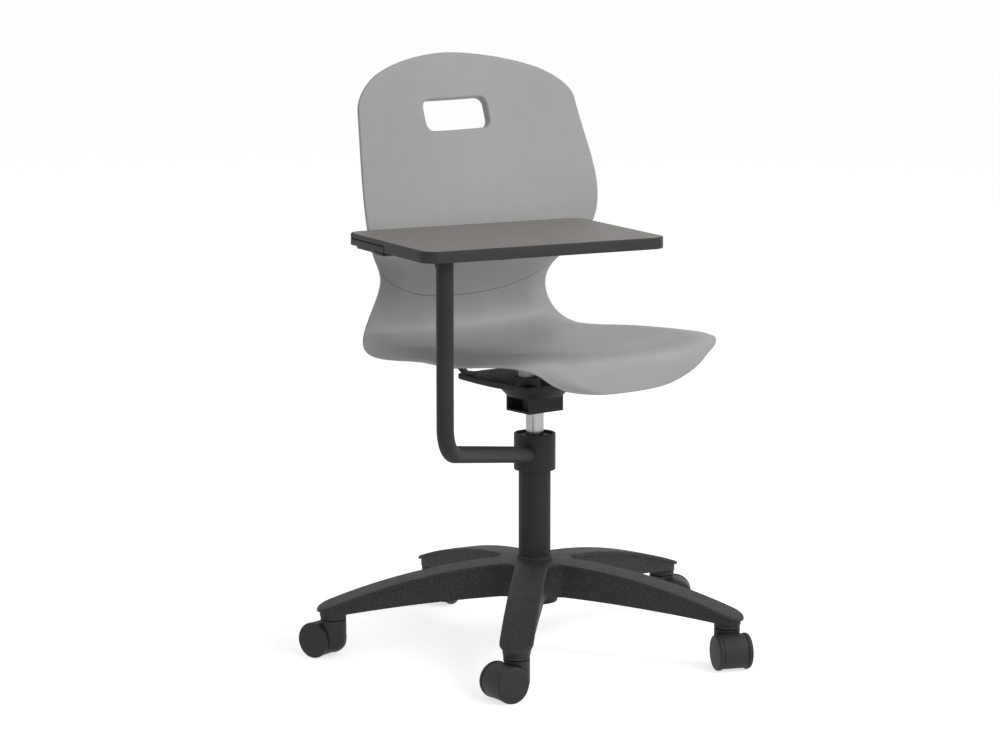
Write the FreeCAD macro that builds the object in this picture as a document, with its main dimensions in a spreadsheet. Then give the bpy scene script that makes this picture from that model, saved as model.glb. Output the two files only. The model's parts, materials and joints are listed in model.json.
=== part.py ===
import FreeCAD, Part
import math
import os
import Sketcher

# Swivel chair with a writing tablet on a bent arm.
# The origin lies on the floor under the column; +Z is up and the seat opens towards -Y.

Vector = FreeCAD.Vector
UP = (0, 0, 1)
ALONG_X = (1, 0, 0)
ALONG_Y = (0, 1, 0)


class Sizes:
    """The chair's sizes in millimetres; what ends in ANGLE is in degrees, in SHARE without a unit."""

    FIT_GAP = 0.1  # gap between pieces that sit in each other
    RUNNING_GAP = 0.3  # gap between pieces that move on each other
    OVERRUN = 5  # how far a raw block or a cutter reaches past what it shapes

    WHEEL_RADIUS = 27.8  # radius of a castor's wheel
    WHEEL_TREAD = 7.2  # thickness of a wheel's outer disc
    WHEEL_ROUND = 3.5  # round of a wheel's outer rim
    WHEEL_FACE = 5.4  # thickness of a wheel's face over the axle's end
    WHEEL_HUB_WALL = 6  # wall of a wheel's hub
    HUB_PLAY = 0.5  # play between a wheel's hub and the hood's web
    BOSS_PLAY = 0.7  # play between a wheel's drum and the boss round the stem
    DRUM_PLAY = 1.2  # play between a wheel's drum and the hood
    RIM_PLAY = 0.8  # play between a wheel's rim and the stem housing
    AXLE_RADIUS = 3  # radius of a castor's axle
    AXLE_HEIGHT = WHEEL_RADIUS  # height of a castor's axle
    CASTOR_TRAIL = 21.7  # trail of a castor
    STEM_RADIUS = 5.5  # radius of a castor's stem
    STEM_RISE = 12.2  # height of a stem's lower end over the axle
    STEM_FLOOR = AXLE_HEIGHT + STEM_RISE  # height of a stem's lower end
    STEM_BOSS_WALL = 2.8  # wall of the boss round the stem
    STEM_BOSS_RADIUS = STEM_RADIUS + STEM_BOSS_WALL  # radius of the boss round the stem
    STEM_BOSS_END = 4  # how far the boss reaches under the stem
    STEM_BOSS_FLOOR = STEM_FLOOR - STEM_BOSS_END  # height of the boss's lower end
    HOOD_HALF = 19.5  # half width of a castor's hood
    HOOD_WEB_HALF = 2  # half thickness of the hood's middle web
    HOOD_STEP = 1.4  # how far a wheel stands out over the hood
    HOOD_WALL = 2.6  # wall of a castor's hood
    HOOD_RADIUS = WHEEL_RADIUS - HOOD_STEP  # radius of a castor's hood
    HOOD_BORE = HOOD_RADIUS - HOOD_WALL  # inner radius of a castor's hood
    HOOD_CLEAR_RADIUS = WHEEL_RADIUS + RIM_PLAY  # radius kept free for a wheel's rim
    HOOD_FLOOR = 8  # height of the hood's lower edge
    WHEEL_CHEEK = HOOD_HALF + RUNNING_GAP  # distance of a wheel's disc from the middle
    WHEEL_OUTER = WHEEL_CHEEK + WHEEL_TREAD  # distance of a wheel's outer face from the middle
    WHEEL_CAP = WHEEL_OUTER - WHEEL_FACE  # distance of the axle hole's end from the middle
    WHEEL_HUB_INNER = HOOD_WEB_HALF + HUB_PLAY  # distance of a wheel's hub from the middle
    WHEEL_HUB_RADIUS = AXLE_RADIUS + WHEEL_HUB_WALL  # radius of a wheel's hub
    WHEEL_DRUM_INNER = STEM_BOSS_RADIUS + BOSS_PLAY  # distance of a wheel's drum from the middle
    WHEEL_DRUM_RADIUS = HOOD_BORE - DRUM_PLAY  # radius of a wheel's drum
    AXLE_HALF = WHEEL_CAP - RUNNING_GAP * 2  # half length of a castor's axle
    HOUSING_RADIUS = 20  # radius of the stem housing
    HOUSING_ROUND_SHARE = 0.85  # round of the housing's lower end, of its radius
    HOUSING_LIFT = 2  # height of the housing's lower end over the hood's
    HOUSING_NECK = 5.9  # how far the housing rises over the hood
    HOUSING_FLOOR = HOOD_FLOOR + HOUSING_LIFT  # height of the stem housing's lower end
    HOUSING_TOP = AXLE_HEIGHT + HOOD_RADIUS + HOUSING_NECK  # height of the housing's upper end
    HOUSING_ROUND = HOUSING_RADIUS * HOUSING_ROUND_SHARE  # round of the housing's lower end
    SHOULDER_STEP = 4.5  # how far a stem's shoulder stands out
    STEM_SHOULDER_RADIUS = STEM_RADIUS + SHOULDER_STEP  # radius of a stem's shoulder
    STEM_SHOULDER_FLOOR = HOUSING_TOP + RUNNING_GAP  # height of a stem's shoulder
    CASTOR_GAP = 1.4  # gap between a stem housing and its socket
    HEADING_ANGLE_1 = -38.9  # trail direction of the first castor
    HEADING_ANGLE_2 = 21.2  # trail direction of the second castor
    HEADING_ANGLE_3 = 104.6  # trail direction of the third castor
    HEADING_ANGLE_4 = 174  # trail direction of the fourth castor
    HEADING_ANGLE_5 = -113  # trail direction of the fifth castor

    LEG_ANGLE = 9.79  # angle of the first leg from +X
    SOCKET_CIRCLE = 319.6  # radius of the circle of castor sockets
    SOCKET_RADIUS = HOUSING_RADIUS  # outer radius of a socket
    SOCKET_FLOOR = HOUSING_TOP + CASTOR_GAP  # height of a socket's lower face
    SOCKET_LID = 3.5  # material over a stem's bore
    SOCKET_LINE = SOCKET_CIRCLE + STEM_RADIUS  # radius of the outer side of a stem's bore
    TIP_HEIGHT = 26.3  # height of the dome over a socket's lower face, at the socket
    DOME_RADIUS = 965  # radius of the dome over the legs
    DOME_SAG = DOME_RADIUS - math.sqrt(DOME_RADIUS ** 2 - SOCKET_CIRCLE ** 2)  # fall to the sockets
    DOME_TOP = SOCKET_FLOOR + TIP_HEIGHT + DOME_SAG  # height of the dome's crown
    DOME_FALL = DOME_RADIUS - math.sqrt(DOME_RADIUS ** 2 - SOCKET_LINE ** 2)  # fall to the bores
    STEM_TOP = DOME_TOP - DOME_FALL - SOCKET_LID - FIT_GAP  # height of a stem's upper end
    BELLY_RADIUS = 2669  # radius of the sphere under the legs
    BELLY_SAG = BELLY_RADIUS - math.sqrt(BELLY_RADIUS ** 2 - SOCKET_CIRCLE ** 2)  # its fall there
    WEB_FOOT = 7.2  # height of a leg's lower edge over a socket's lower face, at the socket
    BELLY_TOP = SOCKET_FLOOR + WEB_FOOT + BELLY_SAG  # height of that sphere's crown
    FLANGE_THICKNESS = 5  # thickness of the legs' top flange
    FLANGE_LIP = 4.5  # how far the top flange stands out over a leg's box
    WEB_MARGIN = 1  # how far a leg's box reaches past the sides of a socket
    WEB_HALF = SOCKET_RADIUS + WEB_MARGIN  # half width of a leg's box
    WEB_ROUND = 24.5  # concave round between two leg boxes
    WEB_WALL = 3.5  # wall of a leg's box
    WEB_OVERLAP = FLANGE_THICKNESS / 2  # how far a leg's box runs into the flange
    FLANGE_HALF = WEB_HALF + FLANGE_LIP  # half width of the top flange
    FLANGE_ROUND = WEB_ROUND - FLANGE_LIP  # concave round between two flanges
    CAVITY_LID = 0.5  # extra material over the hollow of a leg
    CAVITY_STOP = 40.6  # distance from a socket's middle to where the hollow's round end is centred
    CAVITY_END = SOCKET_CIRCLE - CAVITY_STOP  # radius where the hollow's round end is centred
    STAR_FLOOR = SOCKET_FLOOR - OVERRUN  # height where the star's raw block starts
    STAR_HEIGHT = DOME_TOP - STAR_FLOOR + OVERRUN  # height of the star's raw block

    COLUMN_RADIUS = 25  # radius of the stand tube
    COLUMN_WALL = 2  # wall of the stand tube
    COLUMN_TAPER = 1  # how much slimmer the tube's foot is
    COLUMN_DROP = 2  # how far the tube stands out under the hub
    COLUMN_PLATE = 3  # thickness of the stand tube's bottom plate
    COLUMN_LENGTH = 262.5  # length of the stand tube
    HUB_WALL = 11  # wall of the solid hub
    HUB_RADIUS = COLUMN_RADIUS + HUB_WALL  # radius of the solid hub
    HUB_DROP = 13.9  # how far the hub reaches under the legs' sphere
    HUB_RECESS = 1.3  # how far the solid hub ends under the dome's crown
    HUB_FLOOR = BELLY_TOP - HUB_DROP  # height of the hub's lower face
    HUB_HEIGHT = DOME_TOP - HUB_FLOOR - HUB_RECESS  # height of the solid hub
    HUB_RING_WALL = 2  # wall of the ring on the hub
    HUB_RING_RADIUS = COLUMN_RADIUS + HUB_RING_WALL  # radius of the ring on the hub
    HUB_RING_RISE = 4.7  # how far the ring stands out over the dome
    HUB_RING_TOP = DOME_TOP + HUB_RING_RISE  # height of the ring's upper face
    HUB_RING_HEIGHT = 17  # height of the ring's block
    RIB_THICKNESS = 3  # thickness of the cross ribs
    RIB_FIRST = HUB_RADIUS * 3  # radius of the first cross rib
    RIB_STEP = (CAVITY_END - RIB_FIRST) * 0.27  # distance between cross ribs
    COLUMN_FLOOR = HUB_FLOOR - COLUMN_DROP  # height of the stand tube's lower face
    COLUMN_TOP = COLUMN_FLOOR + COLUMN_LENGTH  # height of the stand tube's upper face
    COLUMN_FOOT_RADIUS = COLUMN_RADIUS - COLUMN_TAPER  # radius at the foot of the taper
    SLEEVE_LENGTH = 72.5  # length of the guide sleeve in the tube
    SLEEVE_FLOOR = COLUMN_TOP - SLEEVE_LENGTH  # height of the guide sleeve's lower face
    SLEEVE_LIP = 2.4  # height of the guide sleeve's lip
    SLEEVE_LIP_STEP = 0.4  # how far the lip stands back from the tube's outside
    SLEEVE_LIP_RADIUS = COLUMN_RADIUS - SLEEVE_LIP_STEP  # radius of the guide sleeve's lip

    COLLAR_RISE = 6.3  # how far the arm's collar stands out over the stand tube
    COLLAR_TOP = COLUMN_TOP + COLLAR_RISE  # height of the collar's upper face
    LIFT_ROOM = 35.2  # room between the collar and the lift box, for the seat's fall
    BOX_HEIGHT = 24.9  # height of the lift box
    DISH_THICKNESS = 3  # thickness of the dish
    BUSH_HEIGHT = BOX_HEIGHT + DISH_THICKNESS - FIT_GAP  # height of the taper bush
    BOX_FLOOR = COLLAR_TOP + LIFT_ROOM  # height of the lift box's lower face
    CYLINDER_TOP = BOX_FLOOR + BUSH_HEIGHT + FIT_GAP * 2  # height of the gas cylinder's upper face
    CYLINDER_RADIUS = 14  # radius of the gas cylinder
    CYLINDER_WALL = 2  # wall of the gas cylinder
    CYLINDER_BORE = CYLINDER_RADIUS - CYLINDER_WALL  # inner radius of the gas cylinder
    CYLINDER_DEPTH = 184.5  # how deep the cylinder stands in the stand tube
    CYLINDER_END = 12  # thickness of the cylinder's lower end
    CYLINDER_CAP = 18  # thickness of the cylinder's upper end
    CYLINDER_FLOOR = COLUMN_TOP - CYLINDER_DEPTH  # height of the cylinder's lower face
    TAPER_LENGTH = 32  # length of the cylinder's taper
    TAPER_STEP = 1  # how much slimmer the cylinder is at its top
    CYLINDER_TAPER = CYLINDER_TOP - TAPER_LENGTH  # height where the taper starts
    CYLINDER_TOP_RADIUS = CYLINDER_RADIUS - TAPER_STEP  # radius at the top of the taper
    PISTON_ROOM = 138  # room under the piston, for the seat's rise
    ROD_RADIUS = 5  # radius of the piston rod
    ROD_END = 10  # how far the rod stands out under the stand tube
    ROD_FLOOR = COLUMN_FLOOR - ROD_END  # height of the rod's lower end
    ROD_HEAD_FLOOR = CYLINDER_FLOOR + CYLINDER_END + PISTON_ROOM  # height of the piston's lower face
    ROD_HEAD_HEIGHT = 12  # height of the piston
    ROD_SHOULDER_STEP = 3  # how far the rod's shoulder stands out
    ROD_SHOULDER_RADIUS = ROD_RADIUS + ROD_SHOULDER_STEP  # radius of the rod's shoulder
    ROD_SHOULDER_HEIGHT = 5  # height of the rod's shoulder
    WASHER_RADIUS = 14  # outer radius of the bearing washers
    WASHER_HEIGHT = 2  # thickness of a bearing washer
    BALL_RADIUS = 1.6  # radius of a bearing ball
    BALL_CIRCLE = (ROD_RADIUS + WASHER_RADIUS) / 2  # radius of the circle of balls
    BALL_MARGIN = 1.7  # material of the cage round a ball
    CAGE_RADIUS = BALL_CIRCLE + BALL_RADIUS + BALL_MARGIN  # outer radius of the ball cage
    CLIP_WALL = 5  # wall of the rod's clip
    CLIP_RADIUS = ROD_RADIUS + CLIP_WALL  # outer radius of the rod's clip
    CLIP_HEIGHT = 1.5  # thickness of the rod's clip
    VALVE_RADIUS = 3  # radius of the valve's pin
    VALVE_DEPTH = 16  # how deep the valve's pin stands in the cylinder
    VALVE_RISE = 5.5  # how far the valve's pin stands out
    VALVE_FLOOR = CYLINDER_TOP - VALVE_DEPTH  # height of the valve pin's lower end
    VALVE_TOP = CYLINDER_TOP + VALVE_RISE  # height of the valve pin's crown
    VALVE_ROUND = VALVE_RADIUS / 2  # round on the valve pin's crown

    BOX_LENGTH = 68  # length of the lift box, across the chair
    BOX_WIDTH = 56  # width of the lift box
    BOX_WALL = 3  # wall of the lift box
    BUSH_WALL = 5  # wall of the taper bush
    BUSH_RADIUS = CYLINDER_RADIUS + BUSH_WALL  # outer radius of the taper bush
    DISH_FLOOR = BOX_FLOOR + BOX_HEIGHT + FIT_GAP  # height of the dish's lower face
    DISH_EDGE = 15  # width of the dish's flat round the bush
    DISH_SLOPE = 25  # width of the dish's sloping ring
    DISH_RISE = 14  # height of the dish's sloping ring
    DISH_FLAT = BUSH_RADIUS + DISH_EDGE  # radius of the dish's flat
    DISH_RADIUS = DISH_FLAT + DISH_SLOPE  # outer radius of the dish
    DISH_RIM_FLOOR = DISH_FLOOR + DISH_RISE  # height of the rim's lower edge
    PAD_ANGLE = 45  # angle of the first arm of the bracket
    ARM_ROOT_SHARE = 0.64  # where a bracket arm starts, of the dish's slope
    ARM_SEAT = 0.4  # how far a bracket arm lies over the dish's slope
    ARM_ROOT = DISH_FLAT + DISH_SLOPE * ARM_ROOT_SHARE  # radius where a bracket arm starts
    ARM_ROOT_FLOOR = DISH_FLOOR + DISH_RISE * ARM_ROOT_SHARE + ARM_SEAT  # its lower face there
    ARM_ROOT_HALF = 46  # half width of a bracket arm in the dish
    ARM_WAIST_HALF = 36  # half width of a bracket arm halfway
    ARM_END_HALF = 18  # half width of a bracket arm at its pad
    ARM_THICKNESS = 4  # thickness of a bracket arm
    ARM_CORNER = 8  # corner round of a bracket arm's end
    PAD_CIRCLE = 132  # radius of the circle of shell screws
    PAD_HALF = 15  # half length of a pad
    PAD_STEP = 15  # height of a pad over the end of its arm's slope
    PAD_RAMP = 6  # length of the step up to a pad
    ARM_STEP = PAD_CIRCLE - PAD_HALF  # radius where a pad starts
    ARM_KNEE = ARM_STEP - PAD_RAMP  # radius where an arm's slope ends
    ARM_WAIST = (ARM_ROOT + ARM_KNEE) / 2  # radius halfway along an arm's slope
    ARM_TIP = PAD_CIRCLE + PAD_HALF  # radius of a bracket arm's end
    PAD_FRONT_RISE = 46  # height of a front pad's lower face over the dish
    PAD_REAR_RISE = 41  # height of a rear pad's lower face over the dish
    PAD_FRONT_FLOOR = DISH_FLOOR + PAD_FRONT_RISE  # height of a front pad's lower face
    PAD_REAR_FLOOR = DISH_FLOOR + PAD_REAR_RISE  # height of a rear pad's lower face
    BOSS_RADIUS = 12  # radius of the shell's bosses
    SCREW_RADIUS = 2.5  # radius of a shell screw
    SCREW_HEAD_STEP = 2.5  # how far a shell screw's head stands out
    SCREW_HEAD_RADIUS = SCREW_RADIUS + SCREW_HEAD_STEP  # radius of a shell screw's head
    SCREW_HEAD_HEIGHT = 3  # height of a shell screw's head
    SCREW_LENGTH = 19  # length of a shell screw under its head
    BUFFER_RADIUS = 6  # radius of a stacking buffer
    BUFFER_HEIGHT = 6  # height of a stacking buffer
    BUFFER_SIDE = 204  # distance of a buffer from the middle
    BUFFER_BACK = 96  # distance of a buffer behind the column
    BUFFER_DROP = 0.2  # gap between a buffer and the shell

    LEVER_RADIUS = 4  # radius of the lever's rod
    LEVER_PLAY = 0.8  # play between the lever and the valve's pin
    LEVER_HEIGHT = VALVE_TOP + LEVER_PLAY + LEVER_RADIUS  # height of the lever's axis
    LEVER_TIP = 6  # how far the lever reaches past the axis
    PIN_RADIUS = 2.5  # radius of the pivot pin
    PIN_END = 1.2  # how far the pivot pin stands out of a lug
    EYE_WALL = 3.5  # wall of the lever's eye
    LEVER_EYE_RADIUS = PIN_RADIUS + EYE_WALL  # radius of the lever's eye
    LUG_GAP = LEVER_RADIUS * 2 + RUNNING_GAP * 2  # distance between the two lugs
    LUG_THICKNESS = 2.5  # thickness of a lug
    LUG_LENGTH = 14  # length of a lug
    LUG_MARGIN = 1  # distance of a lug from the bush
    LUG_ROOM = 5.7  # height of a lug over the lever's axis
    LUG_HEIGHT = LEVER_HEIGHT - DISH_FLOOR - DISH_THICKNESS + LUG_ROOM  # height of a lug
    LEVER_PIVOT = BUSH_RADIUS + LUG_MARGIN + LUG_LENGTH / 2  # distance of the lever's pivot
    PIN_LENGTH = LUG_GAP + LUG_THICKNESS * 2 + PIN_END * 2  # length of the pivot pin
    NOTCH_PLAY = 3  # room beside the lever in its notch
    NOTCH_DEPTH = 5.3  # room under the lever in its notch
    NOTCH_HALF = LEVER_RADIUS + NOTCH_PLAY  # half width of the notch for the lever
    NOTCH_FLOOR = LEVER_HEIGHT - LEVER_RADIUS - NOTCH_DEPTH  # height of the notch's floor
    GRIP_START = 188  # distance of the grip from the axis
    GRIP_LENGTH = 58  # length of the lever's grip
    GRIP_WIDTH = 26  # width of the lever's grip
    GRIP_WALL = 2  # wall of the grip over the lever
    GRIP_FLAT = 2  # flat left between the grip's corner rounds, on each side of its middle
    GRIP_END = 10  # thickness of the grip's closed end
    GRIP_HEIGHT = (LEVER_RADIUS + GRIP_WALL) * 2  # height of the lever's grip
    GRIP_ROUND = GRIP_WIDTH / 2 - GRIP_FLAT  # corner round of the grip
    GRIP_EDGE = GRIP_HEIGHT / 4  # edge round of the grip
    LEVER_REACH = GRIP_START + GRIP_LENGTH - GRIP_END  # distance of the rod's outer end

    COLLAR_WALL = 4  # wall of the arm's collar
    LINER_WALL = 3.1  # wall of the collar's liner
    LINER_BORE = COLUMN_RADIUS + RUNNING_GAP  # inner radius of the liner
    LINER_RADIUS = LINER_BORE + LINER_WALL  # outer radius of the liner
    COLLAR_RADIUS = LINER_RADIUS + FIT_GAP + COLLAR_WALL  # outer radius of the arm's collar
    COLLAR_HEIGHT = 57.5  # height of the collar
    COLLAR_FLOOR = COLLAR_TOP - COLLAR_HEIGHT  # height of the collar's lower face
    COLLAR_EDGE = 1.2  # round of the collar's edges
    LINER_RECESS = 0.7  # how far the liner ends inside the collar
    LINER_FLOOR = COLLAR_FLOOR + LINER_RECESS  # height of the liner's lower face
    LINER_TOP = COLUMN_TOP + FIT_GAP + SLEEVE_LIP  # height of the liner's upper face
    ARM_AZIMUTH_ANGLE = 211.11  # direction of the arm from +X
    ARM_RISE_ANGLE = 10.23  # angle at which the arm rises
    ARM_LIFT = 22.3  # height over the collar's lower face where the arm's axis starts
    ARM_START = COLLAR_FLOOR + ARM_LIFT  # height where the arm's axis leaves the column's
    ARM_RADIUS = 389  # distance of the post from the column
    ARM_BEND = 46  # radius of the arm's bend
    TUBE_RADIUS = 12.7  # outer radius of the arm's tube
    TUBE_WALL = 2  # wall of the arm's tube
    TUBE_RISE = 277.4  # height of the tube's upper end over the start of its axis
    TUBE_TOP = ARM_START + TUBE_RISE  # height of the arm tube's upper end
    POST_BUSH_LENGTH = 43  # length of the bush in the arm's tube
    POST_BUSH_WALL = 1.8  # wall of that bush
    POST_BUSH_LIP = 1.5  # height of the bush's lip
    POST_BUSH_RADIUS = TUBE_RADIUS - TUBE_WALL - FIT_GAP  # outer radius of that bush
    SPIGOT_RADIUS = POST_BUSH_RADIUS - POST_BUSH_WALL - RUNNING_GAP  # radius of the post's spigot
    SPIGOT_END = 1  # how far the spigot ends inside the bush
    SPIGOT_LENGTH = POST_BUSH_LENGTH - SPIGOT_END  # length of the post's spigot
    POST_LENGTH = 74.8  # height of the post's upper end over the arm's tube
    POST_TOP = TUBE_TOP + POST_LENGTH  # height of the post's upper end
    POST_FLOOR_THICKNESS = 3  # thickness of the post's closed end
    GUSSET_HEIGHT = 25.8  # height of the gusset
    GUSSET_EDGE = 6.8  # height of the gusset's outer edge
    GUSSET_FOOT_REACH = 3.3  # reach of the gusset's lower edge from the post
    GUSSET_TOP_REACH = 20.3  # reach of the gusset's upper edge from the post
    GUSSET_THICKNESS = 3  # thickness of the gusset
    PLATE_LENGTH = 130  # length of the tablet's steel plate
    PLATE_WIDTH = 90  # width of the tablet's steel plate
    PLATE_THICKNESS = 3  # thickness of the tablet's steel plate
    PLATE_CORNER = 10  # corner round of the steel plate
    PLATE_SHIFT_BACK = 18  # how far the plate's middle lies behind the post
    PLATE_SHIFT_SIDE = 34  # how far the plate's middle lies inward of the post
    PLATE_SCREW_SIDE = PLATE_LENGTH / 2 - PLATE_CORNER * 1.3  # its screws' distance from its middle
    PLATE_SCREW_BACK = PLATE_WIDTH / 2 - PLATE_CORNER * 1.4  # their distance from its middle line
    TABLET_FLOOR = POST_TOP + PLATE_THICKNESS + FIT_GAP  # height of the tablet's lower face
    TABLET_TURN_ANGLE = -11.68  # turn of the tablet's long side
    TABLET_LENGTH = 395  # length of the tablet
    TABLET_WIDTH = 275  # width of the tablet
    TABLET_THICKNESS = 17  # thickness of the tablet
    TABLET_CORNER = 25  # corner round of the tablet
    POST_INSET_SIDE = 52.24  # distance of the post from the tablet's outer short side
    POST_INSET_FRONT = 48.15  # distance of the post from the tablet's front side
    BAND_WIDTH = 3  # width of the tablet's moulded edge
    BAND_EDGE = 1.6  # edge round of the moulded edge
    SMALL_SCREW_RADIUS = 2  # radius of a tablet screw
    SMALL_SCREW_HEAD = SMALL_SCREW_RADIUS * 2  # radius of a tablet screw's head
    SMALL_SCREW_CAP = 2  # height of a tablet screw's head
    SMALL_SCREW_LENGTH = 14  # length of a tablet screw
    NOTCH_HEIGHT = 10  # height of the notch in the tablet's short side
    NOTCH_GAP = 1  # gap over the moulded strip in the notch
    CLIP_BAR_LENGTH = 114  # length of the moulded strip in the notch
    CLIP_BAR_DEPTH = 20  # depth of the moulded strip
    CLIP_BAR_HEIGHT = NOTCH_HEIGHT - NOTCH_GAP  # height of the moulded strip
    CLIP_BAR_BACK = 20  # distance of the strip from the tablet's rear side
    CLIP_BAR_OUT = 1  # how far the strip stands out
    CLIP_STEP = 22  # distance of the strip's lower layer from its rear end
    CLIP_LAYER = 3  # how far that layer stands out under the tablet
    CLIP_FOOT_LENGTH = 30  # length of the foot under the strip's front end
    CLIP_FOOT = 4.5  # how far the foot stands out under the tablet

    SHELL_THICKNESS = 6  # thickness of the seat shell
    SHELL_WRAP_SPAN = 200  # half width at which the wrap is given
    SHELL_FRONT_ZONE_SHARE = 0.044  # share of the profile taken by the front's round
    SHELL_FRONT_POWER_SHARE = 2.57  # roundness of the front's corners
    SHELL_TOP_ZONE_SHARE = 0.096  # share of the profile taken by the top's round
    SHELL_TOP_POWER_SHARE = 1.75  # roundness of the top's corners
    # The shell's profile: share of its course, place fore and aft, rise over the dish, half width
    SHELL_LIP_SHARE = 0
    SHELL_LIP_Y = -227
    SHELL_LIP_RISE = 33
    SHELL_LIP_HALF = 124.5
    SHELL_ROLL_SHARE = 0.056
    SHELL_ROLL_Y = -216
    SHELL_ROLL_RISE = 83
    SHELL_ROLL_HALF = 172.5
    SHELL_FRONT_SHARE = 0.146
    SHELL_FRONT_Y = -138.5
    SHELL_FRONT_RISE = 86
    SHELL_FRONT_HALF = 237.5
    SHELL_MIDDLE_SHARE = 0.295
    SHELL_MIDDLE_Y = -6.5
    SHELL_MIDDLE_RISE = 79.5
    SHELL_MIDDLE_HALF = 233.5
    SHELL_DIP_SHARE = 0.405
    SHELL_DIP_Y = 90
    SHELL_DIP_RISE = 70
    SHELL_DIP_HALF = 232
    SHELL_BEND_SHARE = 0.5
    SHELL_BEND_Y = 174.5
    SHELL_BEND_RISE = 86
    SHELL_BEND_HALF = 200
    SHELL_WAIST_SHARE = 0.592
    SHELL_WAIST_Y = 174.5
    SHELL_WAIST_RISE = 158.5
    SHELL_WAIST_HALF = 168
    SHELL_LUMBAR_SHARE = 0.721
    SHELL_LUMBAR_Y = 146
    SHELL_LUMBAR_RISE = 246
    SHELL_LUMBAR_HALF = 224.5
    SHELL_SHOULDER_SHARE = 0.86
    SHELL_SHOULDER_Y = 184
    SHELL_SHOULDER_RISE = 383.5
    SHELL_SHOULDER_HALF = 222
    SHELL_TOP_SHARE = 1
    SHELL_TOP_Y = 227
    SHELL_TOP_RISE = 518
    SHELL_TOP_HALF = 207
    # The shell's sides: share of its course, rise of the side, turned-down edge
    SIDE_START_SHARE = 0
    SIDE_START_WRAP = 14
    SIDE_START_CURL = 15
    SIDE_SEAT_SHARE = 0.35
    SIDE_SEAT_WRAP = 16
    SIDE_SEAT_CURL = 21.5
    SIDE_KNEE_SHARE = 0.56
    SIDE_KNEE_WRAP = 17.5
    SIDE_KNEE_CURL = 13
    SIDE_END_SHARE = 1
    SIDE_END_WRAP = 46
    SIDE_END_CURL = 2.5
    SLOT_SHARE = 0.8987  # share of the shell's profile up to the handle slot
    SLOT_LENGTH = 126.5  # length of the handle slot
    SLOT_HEIGHT = 50  # height of the handle slot
    SLOT_CORNER = 14  # corner round of the handle slot
    SLOT_WALL = 3  # wall of the collar behind the slot
    SLOT_DEPTH = 14  # depth of the slot with its collar
    SLOT_SINK = 1  # depth in the shell where the collar starts


PROFILE_STATIONS = ("lip", "roll", "front", "middle", "dip", "bend", "waist", "lumbar", "shoulder", "top")
SIDE_STATIONS = ("start", "seat", "knee", "end")

doc = FreeCAD.newDocument("writing_chair")
sheet = doc.addObject("Spreadsheet::Sheet", "sizes")
for row, size_name in enumerate((name for name in vars(Sizes) if name.isupper()), start=1):
    sheet.set(f"A{row}", size_name.replace("_", " ").lower())
    sheet.set(f"B{row}", str(getattr(Sizes, size_name)))
    sheet.setAlias(f"B{row}", size_name.lower())
doc.recompute()


class Size:
    """A value worked out from the sheet, together with the expression that gives it."""

    def __init__(self, text, value):
        self.text = text
        self.value = float(value)

    def __add__(self, other):
        other = as_size(other)
        return Size(f"({self.text} + {other.text})", self.value + other.value)

    def __radd__(self, other):
        return as_size(other) + self

    def __sub__(self, other):
        other = as_size(other)
        return Size(f"({self.text} - {other.text})", self.value - other.value)

    def __rsub__(self, other):
        return as_size(other) - self

    def __mul__(self, other):
        other = as_size(other)
        return Size(f"({self.text} * {other.text})", self.value * other.value)

    def __rmul__(self, other):
        return as_size(other) * self

    def __truediv__(self, other):
        other = as_size(other)
        return Size(f"({self.text} / {other.text})", self.value / other.value)

    def __neg__(self):
        return Size(f"(0 - {self.text})", -self.value)


def as_size(number):
    """Returns the number as a Size; a Size stays as it is."""
    if isinstance(number, Size):
        return number
    return Size(f"({number})" if number < 0 else str(number), number)


def cosine(angle):
    """Returns the cosine of an angle of the sheet, in degrees."""
    return Size(f"cos({angle.text} * 1 deg)", math.cos(math.radians(angle.value)))


def sine(angle):
    """Returns the sine of an angle of the sheet, in degrees."""
    return Size(f"sin({angle.text} * 1 deg)", math.sin(math.radians(angle.value)))


class SheetSizes:
    """Gives each value of the sheet by its name."""

    def __getattr__(self, alias):
        return Size(f"sizes.{alias}", sheet.get(alias))


s = SheetSizes()


def bind(obj, path, size):
    """Ties one value of an object to the sheet."""
    obj.setExpression(path, as_size(size).text)


def place(obj, at=(0, 0, 0), turn=0, axis=UP):
    """Turns an object about an axis through the origin and moves it, tied to the sheet."""
    angle = as_size(turn)
    rotation = FreeCAD.Rotation(Vector(*axis), angle.value)
    obj.Placement = FreeCAD.Placement(Vector(*[as_size(a).value for a in at]), rotation)
    for letter, size in zip("xyz", at):
        if isinstance(size, Size):
            bind(obj, f"Placement.Base.{letter}", size)
    if isinstance(turn, Size):
        bind(obj, "Placement.Rotation.Angle", turn)
    return obj


def made(kind, name, sizes, at, turn, axis):
    """Adds one primitive whose properties are tied to the sheet."""
    obj = doc.addObject(kind, name)
    for key, size in sizes.items():
        setattr(obj, key, as_size(size).value)
        bind(obj, key, size)
    return place(obj, at, turn, axis)


def cylinder(name, radius, height, at=(0, 0, 0), turn=0, axis=UP):
    """Adds a cylinder that rises from its own origin."""
    return made("Part::Cylinder", name, {"Radius": radius, "Height": height}, at, turn, axis)


def cone(name, foot, top, height, at=(0, 0, 0)):
    """Adds a cone that rises from its own origin."""
    return made("Part::Cone", name, {"Radius1": foot, "Radius2": top, "Height": height}, at, 0, UP)


def block(name, length, width, height, at=(0, 0, 0), turn=0, axis=UP):
    """Adds a box with one corner at its own origin."""
    sizes = {"Length": length, "Width": width, "Height": height}
    return made("Part::Box", name, sizes, at, turn, axis)


def ball(name, radius, at=(0, 0, 0)):
    """Adds a sphere round its own origin."""
    return made("Part::Sphere", name, {"Radius": radius}, at, 0, UP)


def cut(name, base, tool):
    """Takes a tool away from a base."""
    obj = doc.addObject("Part::Cut", name)
    obj.Base = base
    obj.Tool = tool
    return obj


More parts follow.
